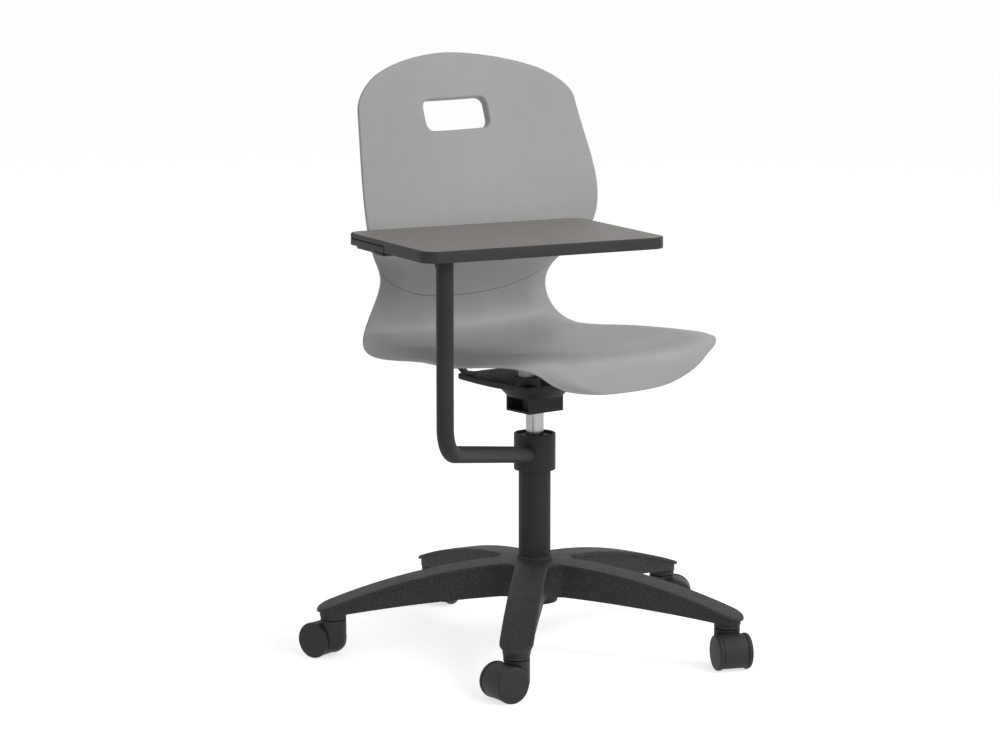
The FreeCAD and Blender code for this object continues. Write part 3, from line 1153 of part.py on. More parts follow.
def arm_tube():
    """Sweeps the tube along its run, its bend and its post."""
    body = doc.addObject("PartDesign::Body", "tube")
    path = sketch_on(body, "XZ_Plane", "tube_path")
    rise = math.radians(s.arm_rise_angle.value)
    reach, start, bend = s.arm_radius.value, s.arm_start.value, s.arm_bend.value
    tangent = bend * math.tan((math.pi / 2 - rise) / 2)
    corner = start + reach * math.tan(rise)
    low = Vector(reach - tangent * math.cos(rise), corner - tangent * math.sin(rise), 0)
    high = Vector(reach, corner + tangent, 0)
    heart = Vector(reach - bend, high.y, 0)
    path.addGeometry(Part.LineSegment(Vector(0, start, 0), low), False)
    path.addGeometry(Part.ArcOfCircle(Part.Circle(heart, Vector(*UP), bend),
                                      -math.pi / 2 + rise, 0), False)
    path.addGeometry(Part.LineSegment(high, Vector(reach, s.tube_top.value, 0)), False)
    hold(path, "PointOnObject", 0, 1, -2)
    hold(path, "DistanceY", -1, 1, 0, 1, size=s.arm_start)
    hold(path, "Tangent", 0, 2, 1, 1)
    hold(path, "Tangent", 1, 2, 2, 1)
    hold(path, "Vertical", 2)
    hold(path, "DistanceX", -1, 1, 2, 2, size=s.arm_radius)
    hold(path, "DistanceY", -1, 1, 2, 2, size=s.tube_top)
    hold(path, "Radius", 1, size=s.arm_bend)
    index = hold(path, "Angle", 0, rise)
    path.setExpression(f"Constraints[{index}]", f"{s.arm_rise_angle.text} * 1 deg")
    ring = sketch_on(body, "XY_Plane", "tube_section", s.tube_top)
    heart = Vector(reach, 0, 0)
    for radius in (s.tube_radius, s.tube_radius - s.tube_wall):
        ring.addGeometry(Part.Circle(heart, Vector(*UP), radius.value), False)
    hold(ring, "Coincident", 0, 3, 1, 3)
    hold(ring, "PointOnObject", 0, 3, -1)
    hold(ring, "DistanceX", -1, 1, 0, 3, size=s.arm_radius)
    hold(ring, "Radius", 0, size=s.tube_radius)
    hold(ring, "Radius", 1, size=s.tube_radius - s.tube_wall)
    sweep = body.newObject("PartDesign::AdditivePipe", "tube_sweep")
    sweep.Profile = ring
    sweep.Spine = (path, ["Edge3", "Edge2", "Edge1"])
    body.Tip = sweep
    place(body, turn=s.arm_azimuth_angle)
    collar = cylinder("tube_trim", s.collar_radius + s.fit_gap, s.tube_top, (0, 0, 0))
    return cut("trimmed_tube", body, collar)


POST = around(s.arm_radius, s.arm_azimuth_angle)


def arm_pieces():
    """Builds the collar on the column, its liner, the tube and the bush in the tube."""
    inner = s.collar_radius - s.collar_wall
    edges = [(s.collar_radius, s.collar_floor, s.collar_edge),
             (s.collar_radius, s.collar_top, s.collar_edge)]
    collar = tube("collar", s.collar_radius, inner, s.collar_floor, s.collar_top, edges)
    liner = tube("liner", s.liner_radius, s.liner_bore, s.liner_floor, s.liner_top)
    bore = s.post_bush_radius
    lip = s.tube_top + s.fit_gap
    hole = s.spigot_radius + s.running_gap
    bush = turned("post_liner", (
        (hole, s.tube_top - s.post_bush_length), (bore, s.tube_top - s.post_bush_length),
        (bore, lip), (s.tube_radius, lip), (s.tube_radius, lip + s.post_bush_lip),
        (hole, lip + s.post_bush_lip)), at=(*POST, 0))
    return {"arm_collar": collar, "collar_bush": liner, "arm_tube": arm_tube(), "post_bush": bush}


def from_post(side, back):
    """Returns the x and y of a place inward of and behind the post, along the tablet's sides."""
    turn = s.tablet_turn_angle
    return (POST[0] + side * cosine(turn) - back * sine(turn),
            POST[1] + side * sine(turn) + back * cosine(turn))


def tablet_notch(name, gap):
    """Makes the block under the rear half of the tablet's short side."""
    grow = s.fit_gap * gap
    return block(name, s.clip_bar_depth + s.clip_bar_out + grow, s.clip_bar_length + grow * 2,
                 s.notch_height,
                 (-(s.tablet_length * 0.5) - s.clip_bar_out,
                  s.tablet_width * 0.5 - s.clip_bar_back - s.clip_bar_length - grow, s.tablet_floor))


def edge_clip():
    """Makes the moulded strip in the notch, with its lower layer and its foot."""
    outer = -(s.tablet_length * 0.5) - s.clip_bar_out
    front = s.tablet_width * 0.5 - s.clip_bar_back - s.clip_bar_length
    depth = s.clip_bar_depth + s.clip_bar_out
    bar = block("clip_bar", depth, s.clip_bar_length, s.clip_bar_height,
                (outer, front, s.tablet_floor))
    layer = block("clip_layer", depth, s.clip_bar_length - s.clip_step, s.clip_layer,
                  (outer, front, s.tablet_floor - s.clip_layer))
    foot = block("clip_foot", depth, s.clip_foot_length, s.clip_foot,
                 (outer, front, s.tablet_floor - s.clip_foot))
    return fuse("clip", [bar, layer, foot])


def tablet_pieces():
    """Builds the turning post, its plate and the tablet with its edge."""
    foot = s.tube_top + s.fit_gap + s.post_bush_lip + s.running_gap
    bore = s.tube_radius - s.tube_wall
    post = turned("post", (
        (0, foot - s.spigot_length), (s.spigot_radius, foot - s.spigot_length),
        (s.spigot_radius, foot), (s.tube_radius, foot), (s.tube_radius, s.post_top),
        (bore, s.post_top), (bore, foot + s.post_floor_thickness),
        (0, foot + s.post_floor_thickness)), at=(*POST, 0))
    gusset_start = s.tube_radius + s.fit_gap
    gusset_floor = s.post_top - s.gusset_height
    gusset_reach = s.tube_radius + s.gusset_top_reach
    gusset = strip("gusset", (
        (gusset_start, gusset_floor), (s.tube_radius + s.gusset_foot_reach, gusset_floor),
        (gusset_reach, s.post_top - s.gusset_edge), (gusset_reach, s.post_top),
        (gusset_start, s.post_top)), s.gusset_thickness, (*POST, 0), s.tablet_turn_angle + 90)
    across = s.tablet_turn_angle
    middle = from_post(s.plate_shift_side, s.plate_shift_back)
    plate_floor = s.tablet_floor - s.fit_gap - s.plate_thickness
    steel = plate("steel_plate", s.plate_length, s.plate_width, s.plate_thickness, s.plate_corner,
                  at=(*middle, plate_floor), turn=across)
    plate_holes, board_holes, screws = [], [], []
    for number, (a, b) in enumerate(((-1, -1), (1, -1), (1, 1), (-1, 1)), start=1):
        u, n = s.plate_screw_side * a, s.plate_screw_back * b
        x = middle[0] + u * cosine(across) - n * sine(across)
        y = middle[1] + u * sine(across) + n * cosine(across)
        hole = s.small_screw_radius + s.fit_gap
        plate_holes.append(cylinder(f"plate_hole_{number}", hole, s.plate_thickness,
                                    (x, y, plate_floor)))
        depth = s.small_screw_length - s.plate_thickness
        board_holes.append(cylinder(f"board_hole_{number}", hole, depth, (x, y, s.tablet_floor)))
        one = screw(f"tablet_screw_{number}", s.small_screw_radius, s.small_screw_length,
                    s.small_screw_head, s.small_screw_cap)
        screws.append(place(one, (x, y, plate_floor - s.small_screw_cap - s.fit_gap)))
    steel = cut("plate_with_holes", steel, fuse("plate_holes", plate_holes))
    here = (*from_post(s.tablet_length * 0.5 - s.post_inset_side,
                       s.tablet_width * 0.5 - s.post_inset_front), 0)
    inset = (s.band_width + s.fit_gap) * 2
    floor = (0, 0, s.tablet_floor)
    board = cut("board_raw", plate("board_block", s.tablet_length - inset, s.tablet_width - inset,
                                   s.tablet_thickness, s.tablet_corner - s.band_width, at=floor),
                tablet_notch("board_notch", 1))
    board = cut("board", place(board, here, across), fuse("board_holes", board_holes))
    hole = plate("band_inside", s.tablet_length - s.band_width * 2,
                 s.tablet_width - s.band_width * 2, s.tablet_thickness,
                 s.tablet_corner - s.band_width, at=floor)
    band = cut("band_ring", plate("band_outside", s.tablet_length, s.tablet_width,
                                  s.tablet_thickness, s.tablet_corner, s.band_edge, floor), hole)
    band = place(cut("band", band, tablet_notch("band_notch", 1)), here, across)
    clip = place(edge_clip(), here, across)
    return {"tablet_post": post, "post_gusset": gusset, "tablet_plate": steel,
            "tablet_screws": group("screws_of_tablet", screws), "tablet_board": board,
            "tablet_edge_band": band, "tablet_edge_clip": clip}


def hood():
    """Builds a castor's hood round its own stem, with the wheels behind along +X."""
    centre = (s.castor_trail, s.hood_half, s.axle_height)
    drum = cylinder("hood_drum", s.hood_radius, s.hood_half * 2, centre, 90, ALONG_X)
    housing = turned("housing", (
        (0, s.housing_floor), (s.housing_radius, s.housing_floor),
        (s.housing_radius, s.housing_top), (0, s.housing_top)),
        [(s.housing_radius, s.housing_floor, s.housing_round)])
    room = s.hood_half - s.hood_web_half
    side = s.hood_radius
    cuts = []
    for name, y in (("left", s.hood_half), ("right", -s.hood_web_half)):
        cuts.append(cylinder(f"hood_room_{name}", s.hood_bore, room,
                             (s.castor_trail, y, s.axle_height), 90, ALONG_X))
    for name, y in (("left", s.hood_half + side), ("right", -s.hood_half)):
        cuts.append(cylinder(f"hood_side_{name}", s.hood_clear_radius, side,
                             (s.castor_trail, y, s.axle_height), 90, ALONG_X))
    cuts.append(block("hood_foot", s.hood_radius * 4, s.hood_radius * 2, s.hood_floor,
                      (-(s.hood_radius * 2), -s.hood_radius, 0)))
    shape = cut("hood_shell", fuse("hood_raw", [drum, housing]), fuse("hood_cuts", cuts))
    boss_height = s.housing_top - s.stem_boss_floor
    shape = fuse("hood_solid", [shape, cylinder("stem_boss", s.stem_boss_radius, boss_height,
                                                (0, 0, s.stem_boss_floor))])
    holes = [cylinder("stem_hole", s.stem_radius + s.fit_gap,
                      s.housing_top - s.stem_floor + s.running_gap,
                      (0, 0, s.stem_floor - s.running_gap)),
             cylinder("axle_hole", s.axle_radius + s.fit_gap, s.hood_half * 2, centre, 90,
                      ALONG_X)]
    return cut("hood", shape, fuse("hood_holes", holes))


def wheel(name, turn):
    """Builds one wheel of a castor; the turn sends its outer face to one side."""
    hole = s.axle_radius + s.fit_gap
    return turned(name, (
        (hole, s.wheel_hub_inner), (s.wheel_hub_radius, s.wheel_hub_inner),
        (s.wheel_hub_radius, s.wheel_drum_inner), (s.wheel_drum_radius, s.wheel_drum_inner),
        (s.wheel_drum_radius, s.wheel_cheek), (s.wheel_radius, s.wheel_cheek),
        (s.wheel_radius, s.wheel_outer), (0, s.wheel_outer), (0, s.wheel_cap), (hole, s.wheel_cap)),
        [(s.wheel_radius, s.wheel_outer, s.wheel_round)],
        (s.castor_trail, 0, s.axle_height), turn, ALONG_X)


def castor_pieces():
    """Builds one castor and sets it under each leg."""
    stem = turned("stem", (
        (0, s.stem_floor), (s.stem_radius, s.stem_floor), (s.stem_radius, s.stem_shoulder_floor),
        (s.stem_shoulder_radius, s.stem_shoulder_floor),
        (s.stem_shoulder_radius, s.socket_floor - s.fit_gap),
        (s.stem_radius, s.socket_floor - s.fit_gap), (s.stem_radius, s.stem_top), (0, s.stem_top)))
    axle = cylinder("axle", s.axle_radius, s.axle_half * 2,
                    (s.castor_trail, s.axle_half, s.axle_height), 90, ALONG_X)
    kit = {"caster_stem": stem, "caster_hood": hood(), "caster_axle": axle,
           "caster_wheel_left": wheel("wheel_left", -90),
           "caster_wheel_right": wheel("wheel_right", 90)}
    pieces = {}
    for number, (angle, heading) in enumerate(zip(LEG_ANGLES, HEADINGS), start=1):
        x, y = around(s.socket_circle, angle)
        for name, piece in kit.items():
            copy = group(f"{name}_copy_{number}", [piece])
            pieces[f"{name}_{number}"] = place(copy, (x, y, 0), heading)
    return pieces


def export(pieces):
    """Names, checks and writes every piece."""
    doc.recompute()
    os.makedirs("parts", exist_ok=True)
    for obj in doc.Objects:
        if "Invalid" in obj.State or "Error" in obj.State:
            raise RuntimeError(f"{obj.Name} did not build")
    for name, piece in pieces.items():
        piece.Label = name
        shape = piece.Shape
        if shape.isNull() or not shape.isValid():
            raise RuntimeError(f"{name} has no valid shape")
        solids = shape.Solids
        if not solids or min(solid.Volume for solid in solids) <= 0:
            raise RuntimeError(f"{name} has no solid")
        shape.exportStep(f"parts/{name}.step")


export({**base_pieces(), **rod_pieces(), **lift_pieces(), **seat_pieces(), **lever_pieces(),
        **arm_pieces(), **tablet_pieces(), **castor_pieces()})
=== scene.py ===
import json
import logging
import math
from dataclasses import dataclass, field
from enum import Enum

import bmesh
import bpy
import numpy as np
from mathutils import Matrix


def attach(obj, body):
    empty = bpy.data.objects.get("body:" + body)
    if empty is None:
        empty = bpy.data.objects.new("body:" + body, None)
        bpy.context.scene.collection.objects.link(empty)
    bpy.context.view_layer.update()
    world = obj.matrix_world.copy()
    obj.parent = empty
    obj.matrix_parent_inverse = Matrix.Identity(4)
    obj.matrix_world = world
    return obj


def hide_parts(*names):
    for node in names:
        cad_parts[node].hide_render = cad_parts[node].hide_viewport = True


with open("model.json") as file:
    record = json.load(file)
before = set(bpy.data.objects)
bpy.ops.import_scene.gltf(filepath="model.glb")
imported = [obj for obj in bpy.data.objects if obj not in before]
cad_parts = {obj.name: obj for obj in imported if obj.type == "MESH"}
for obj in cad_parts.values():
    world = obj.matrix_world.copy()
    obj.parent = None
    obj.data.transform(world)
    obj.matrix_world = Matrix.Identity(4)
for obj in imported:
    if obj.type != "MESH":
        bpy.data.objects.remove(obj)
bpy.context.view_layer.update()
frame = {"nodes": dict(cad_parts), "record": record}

MM = 0.001
WELDS_PER_MM = 2000.0
LEG_STEP = 72.0
LEGS = tuple(9.79 + LEG_STEP * number for number in range(5))
STEM_CIRCLE = 319.6
HEADINGS = (-38.9, 21.2, 104.6, 174.0, -113.0)
LOG = logging.getLogger("writing_chair")
Array = np.ndarray
Pair = tuple[float, float]
Triple = tuple[float, float, float]
Row = tuple[float, ...]
Rgb = Triple
Corners = tuple[Row, ...]
Socket = bpy.types.NodeSocket


def added(name: str, data: bpy.types.ID) -> bpy.types.Object:
    """Adds an object with its data to the scene."""
    piece = bpy.data.objects.new(name, data)
    bpy.context.scene.collection.objects.link(piece)
    return piece


def grey(level: float, warmth: float = 0.0) -> Rgb:
    """Gives the linear colour of an 8-bit screen grey.

    Args:
        level: the grey from 0 to 255.
        warmth: what red gains and blue loses, in the same units.

    Returns:
        The linear red, green and blue.
    """
    def linear(value: float) -> float:
        """Turns one 8-bit screen value into a linear one."""
        share = value / 255.0
        return share / 12.92 if share <= 0.04045 else ((share + 0.055) / 1.055) ** 2.4
    return linear(level + warmth), linear(level), linear(level - warmth)


class Signal:
    """A value inside a material that Python expressions can work with."""

    def __init__(self, bench: "Bench", socket: Socket) -> None:
        """Wraps one output socket."""
        self.bench = bench
        self.socket = socket

    def _with(self, operation: str, *others: "Signal | float") -> "Signal":
        """Adds one Math node that takes this value first."""
        return self.bench.math(operation, self, *others)

    def __add__(self, other: "Signal | float") -> "Signal":
        """Adds."""
        return self._with("ADD", other)

    def __radd__(self, other: float) -> "Signal":
        """Adds to a number."""
        return self._with("ADD", other)

    def __sub__(self, other: "Signal | float") -> "Signal":
        """Takes away."""
        return self._with("SUBTRACT", other)

    def __rsub__(self, other: float) -> "Signal":
        """Is taken away from a number."""
        return self.bench.math("SUBTRACT", other, self)

    def __mul__(self, other: "Signal | float") -> "Signal":
        """Multiplies."""
        return self._with("MULTIPLY", other)

    def __abs__(self) -> "Signal":
        """Gives the size without its sign."""
        return self._with("ABSOLUTE")

    def rising(self, low: float, high: float) -> "Signal":
        """Goes smoothly from 0 at one value to 1 at another.

        Args:
            low: the value that gives 0.
            high: the value that gives 1.

        Returns:
            The smooth step.
        """
        inputs = {"Value": self, "From Min": low, "From Max": high}
        node = self.bench.node("ShaderNodeMapRange", inputs, interpolation_type="SMOOTHSTEP")
        return Signal(self.bench, node.outputs["Result"])


class Bench:
    """Builds the nodes of one material or of the world."""

    def __init__(self, owner: "bpy.types.Material | bpy.types.World") -> None:
        """Clears the nodes of a material or a world."""
        self.owner = owner
        owner.use_nodes = True
        self.tree = owner.node_tree
        self.tree.nodes.clear()

    @property
    def place(self) -> Socket:
        """Gives the point of the piece that is being shaded, in the chair's frame."""
        found = self.tree.nodes.get("place")
        if found is None:
            found = self.node("ShaderNodeTexCoord", {}, name="place")
        return found.outputs["Object"]

    def node(self, kind: str, inputs: dict, **settings: str) -> bpy.types.Node:
        """Adds a node.

        Args:
            kind: the node's type.
            inputs: socket name or number to a number, a colour, a Signal or an output socket.
            settings: properties that are set first.

        Returns:
            The node.
        """
        made = self.tree.nodes.new(kind)
        for key, value in settings.items():
            setattr(made, key, value)
        for key, value in inputs.items():
            socket = made.inputs[key]
            if isinstance(value, Signal):
                self.tree.links.new(value.socket, socket)
            elif isinstance(value, Socket):
                self.tree.links.new(value, socket)
            else:
                socket.default_value = value
        return made

    def math(self, operation: str, *values: "Signal | float") -> Signal:
        """Adds a Math node and gives its result."""
        node = self.node("ShaderNodeMath", dict(enumerate(values)), operation=operation)
        return Signal(self, node.outputs[0])

    def noise(self, size: float, detail: float = 3.0) -> Signal:
        """Adds noise over the piece.

        Args:
            size: the width of one lump, in metres.
            detail: how many finer layers it has.

        Returns:
            The noise, about 0.5 on average.
        """
        node = self.node("ShaderNodeTexNoise", {"Vector": self.place, "Scale": 1.0 / size,
                                                "Detail": detail, "Roughness": 0.55})
        return Signal(self, node.outputs["Fac"])

    def attribute(self, name: str) -> Signal:
        """Reads a number that the mesh carries."""
        node = self.node("ShaderNodeAttribute", {}, attribute_name=name)
        return Signal(self, node.outputs["Fac"])

    def blend(self, share: Signal, low: Rgb | Socket, high: Rgb) -> Socket:
        """Mixes two colours by a share; the lower one may come from another node."""
        first = low if isinstance(low, Socket) else (*low, 1.0)
        inputs = {"Factor": share, 6: first, 7: (*high, 1.0)}
        return self.node("ShaderNodeMix", inputs, data_type="RGBA").outputs[2]

    def relief(self, height: Signal, depth: float, under: Socket | None = None) -> Socket:
        """Turns a height into a surface relief.

        Args:
            height: the height, 0 to 1.
            depth: what a height of 1 stands for, in metres.
            under: a relief that this one lies on.

        Returns:
            The bent normal.
        """
        inputs = {"Height": height, "Distance": depth, "Strength": 1.0}
        if under is not None:
            inputs["Normal"] = under
        return self.node("ShaderNodeBump", inputs).outputs["Normal"]

    def close(self, inputs: dict) -> bpy.types.Material:
        """Adds the surface shader and gives the material."""
        shader = self.node("ShaderNodeBsdfPrincipled", inputs)
        self.node("ShaderNodeOutputMaterial", {"Surface": shader.outputs[0]})
        return self.owner

    def seen(self) -> Signal:
        """Gives 1 for a ray that comes from the eye, a reflection or glass, and 0 for others."""
        path = self.node("ShaderNodeLightPath", {})
        camera, glossy, through = (Signal(self, path.outputs[f"Is {kind} Ray"])
                                   for kind in ("Camera", "Glossy", "Transmission"))
        return self.math("MINIMUM", camera + glossy + through, 1.0)


@dataclass(frozen=True)
class Finish:
    """How one material looks.

    The grain is the width of its fine lumps in metres and grain_depth their height, and broad says
    how much wider and higher the lumps below them are. The mottle is how far the colour goes up
    and down over clouds, and the speckle is the share of that which is as fine as the grain. The
    spans are the noise values between which the colour changes.
    """

    slot: str
    colour: Rgb
    roughness: float
    metallic: float = 0.0
    grain: float = 0.0012
    grain_depth: float = 0.00004
    mottle: float = 0.05
    speckle: float = 0.0
    gloss: float = 0.5
    broad: Pair = (6.0, 1.5)
    cloud: float = 0.035
    cloud_span: Pair = (0.3, 0.7)
    speck_span: Pair = (0.38, 0.66)
    smudge: float = 0.02
    smudge_share: float = 0.08

    def tone(self, bench: Bench) -> Socket:
        """Gives the colour over the surface: broad soft clouds, and fine specks where asked."""
        low, high = (tuple(c * (1.0 + swing) for c in self.colour)
                     for swing in (-self.mottle, self.mottle))
        share = bench.noise(self.cloud, 4.0).rising(*self.cloud_span)
        if self.speckle > 0.0:
            specks = bench.noise(self.grain, 2.0).rising(*self.speck_span)
            share = share * (1.0 - self.speckle) + specks * self.speckle
        return bench.blend(share, low, high)

    def relief(self, bench: Bench) -> Socket:
        """Gives the grain: fine lumps over broader ones."""
        fine = bench.noise(self.grain, 2.0)
        wider, higher = self.broad
        broad = bench.relief(bench.noise(self.grain * wider, 2.0), self.grain_depth * higher)
        return bench.relief(fine, self.grain_depth, broad)

    def material(self) -> bpy.types.Material:
        """Builds the material."""
        bench = Bench(bpy.data.materials.new(self.slot))
        rough = self.roughness + (bench.noise(self.smudge, 3.0) - 0.5) * self.smudge_share
        return bench.close({"Metallic": self.metallic, "Specular IOR Level": self.gloss,
                            "Base Color": self.tone(bench), "Roughness": rough,
                            "Normal": self.relief(bench)})


@dataclass(frozen=True)
class SeamedFinish(Finish):
    """A moulded finish with a fine seam where the mesh says how far the seam is."""

    half_width: float = 0.0008
    softness: float = 0.6
    seam_depth: float = 0.0004
    seam_shade: float = 0.42
    seam_colour: Rgb = (0.05, 0.05, 0.05)

    def seam(self, bench: Bench) -> Signal:
        """Gives 1 in the seam and 0 beside it, with soft sides."""
        near, far = (self.half_width * (1.0 + side) for side in (-self.softness, self.softness))
        return 1.0 - abs(bench.attribute("seam")).rising(near, far)

    def tone(self, bench: Bench) -> Socket:
        """Darkens the seam."""
        base = super().tone(bench)
        return bench.blend(self.seam(bench) * self.seam_shade, base, self.seam_colour)

    def relief(self, bench: Bench) -> Socket:
        """Sinks the seam into the grain."""
        return bench.relief(1.0 - self.seam(bench), self.seam_depth, super().relief(bench))


class Skin(Enum):
    """The finishes of the chair."""

    NYLON = Finish("black_nylon", grey(50), 0.6, grain=0.0032, grain_depth=0.0009, speckle=0.85,
                   mottle=0.34, gloss=0.28)
    NYLON_SMOOTH = Finish("black_nylon", grey(45), 0.55, grain=0.0011, grain_depth=0.00003,
                          gloss=0.28)
    STEEL = Finish("black_steel", grey(44), 0.6, grain=0.0006, grain_depth=0.00002, gloss=0.22)
    PLASTIC = Finish("black_plastic", grey(50), 0.55, grain=0.0008, grain_depth=0.00002,
                     gloss=0.25)
    CYLINDER = Finish("bright_cylinder", grey(160), 0.26, metallic=1.0, grain=0.004,
                      grain_depth=0.000002, mottle=0.02)
    BARE = Finish("bare_steel", grey(170), 0.35, metallic=1.0, grain=0.002, grain_depth=0.000005)
    SHELL = SeamedFinish("grey_shell", grey(164, 0.5), 0.5, grain=0.0009, grain_depth=0.00003,
                         mottle=0.02)
    LAMINATE = Finish("grey_laminate", grey(119, 4), 0.5, grain=0.0009, grain_depth=0.00001,
                      mottle=0.03, speckle=0.5, gloss=0.25)

    def material(self) -> bpy.types.Material:
        """Gives the material, made on its first use."""
        found = bpy.data.materials.get(self.name.lower())
        if found is None:
            found = self.value.material()
            found.name = self.name.lower()
        return found


def full_turn(segments: int) -> Array:
    """Gives the angles of a full turn in equal steps."""
    return np.linspace(0.0, 2.0 * math.pi, segments, endpoint=False)


def quarter(radius: float, steps: int = 4) -> tuple[Array, Array]:
    """Gives a quarter circle: radius * (1 - sin t) and radius * (1 - cos t), t from 0 to 90.

    The first falls from the radius to 0 while the second rises from 0 to the radius.
    """
    turn = np.linspace(0.0, math.pi / 2.0, steps + 1)
    return radius * (1 - np.sin(turn)), radius * (1 - np.cos(turn))


def joined(*axes: Array | float) -> Array:
    """Gives points from their coordinates, each stretched to the same shape."""
    return np.stack(np.broadcast_arrays(*axes), -1)


def spun(line: Array, angle: Array) -> Array:
    """Turns a profile of radius r and place z about an axis: (r cos a, r sin a, z)."""
    radius, place = line[:, :1], line[:, 1:]
    return joined(radius * np.cos(angle), radius * np.sin(angle), place)


def bent_line(points: Array, radii: Array, steps: int = 6) -> Array:
    """Rounds the corners of a polyline.

    Each corner becomes an arc that touches both of its lines: its centre lies on the corner's
    bisector at radius / sin(half the corner angle).

    Args:
        points: corners, as rows of two or three numbers.
        radii: one radius for each corner; the first and last are not used.
        steps: pieces in each arc.

    Returns:
        The points of the rounded line.
    """
    points = np.asarray(points, float)
    out = [points[0]]
    for before, corner, after, radius in zip(points, points[1:], points[2:], radii[1:]):
        a = (before - corner) / np.linalg.norm(before - corner)
        b = (after - corner) / np.linalg.norm(after - corner)
        if radius <= 0.0:
            out.append(corner)
            continue
        half = math.acos(float(np.clip(a @ b, -1.0, 1.0))) / 2.0
        middle = (a + b) / np.linalg.norm(a + b)
        centre = corner + middle * radius / math.sin(half)
        start, end = corner + a * radius / math.tan(half), corner + b * radius / math.tan(half)
        u, v = (start - centre) / radius, (end - centre) / radius
        sweep = math.acos(float(np.clip(u @ v, -1.0, 1.0)))
        t = np.linspace(0.0, 1.0, steps + 1)[:, None]
        arc = (np.sin((1.0 - t) * sweep) * u + np.sin(t * sweep) * v) / math.sin(sweep)
        out.extend(centre + radius * arc)
    out.append(points[-1])
    return np.array(out)


class Course:
    """A natural cubic spline through values at stations."""

    def __init__(self, stations: Row, values: Row) -> None:
        """Works out the second derivatives, which are zero at both ends."""
        self.x = np.array(stations, float)
        self.y = np.array(values, float)
        h = np.diff(self.x)
        count = len(self.x)
        matrix = np.eye(count)
        right = np.zeros(count)
        inner = np.arange(1, count - 1)
        matrix[inner, inner - 1] = h[:-1]
        matrix[inner, inner] = 2.0 * (h[:-1] + h[1:])
        matrix[inner, inner + 1] = h[1:]
        right[inner] = 6.0 * np.diff(np.diff(self.y) / h)
        self.bend = np.linalg.solve(matrix, right)

    def _span(self, at: Array) -> tuple[Array, Array, Array, Array]:
        """Gives the span's number, length and slope, and how far into it each value lies."""
        i = np.clip(np.searchsorted(self.x, at) - 1, 0, len(self.x) - 2)
        h = self.x[i + 1] - self.x[i]
        slope = (self.y[i + 1] - self.y[i]) / h - h * (2.0 * self.bend[i] + self.bend[i + 1]) / 6.0
        return i, h, slope, at - self.x[i]

    def value(self, at: Array) -> Array:
        """Gives the spline's values."""
        i, h, slope, d = self._span(at)
        rise = (self.bend[i + 1] - self.bend[i]) / (6.0 * h)
        return self.y[i] + d * (slope + d * (self.bend[i] / 2.0 + d * rise))

    def slope(self, at: Array) -> Array:
        """Gives the spline's slopes."""
        i, h, slope, d = self._span(at)
        rise = (self.bend[i + 1] - self.bend[i]) / (2.0 * h)
        return slope + d * (self.bend[i] + d * rise)


@dataclass(frozen=True)
class Place:
    """Turns points about Z and moves them."""

    x: float = 0.0
    y: float = 0.0
    z: float = 0.0
    turn: float = 0.0

    def __call__(self, points: Array) -> Array:
        """Gives the points in the chair's frame."""
        c, s = math.cos(math.radians(self.turn)), math.sin(math.radians(self.turn))
        x, y, z = points[..., 0], points[..., 1], points[..., 2]
        return joined(x * c - y * s + self.x, x * s + y * c + self.y, z + self.z)

    @classmethod
    def out(cls, radius: float, angle: float, turn: float = 0.0) -> "Place":
        """Gives the place at a distance from the chair's axis, in a direction in degrees."""
        a = math.radians(angle)
        return cls(radius * math.cos(a), radius * math.sin(a), 0.0, turn)


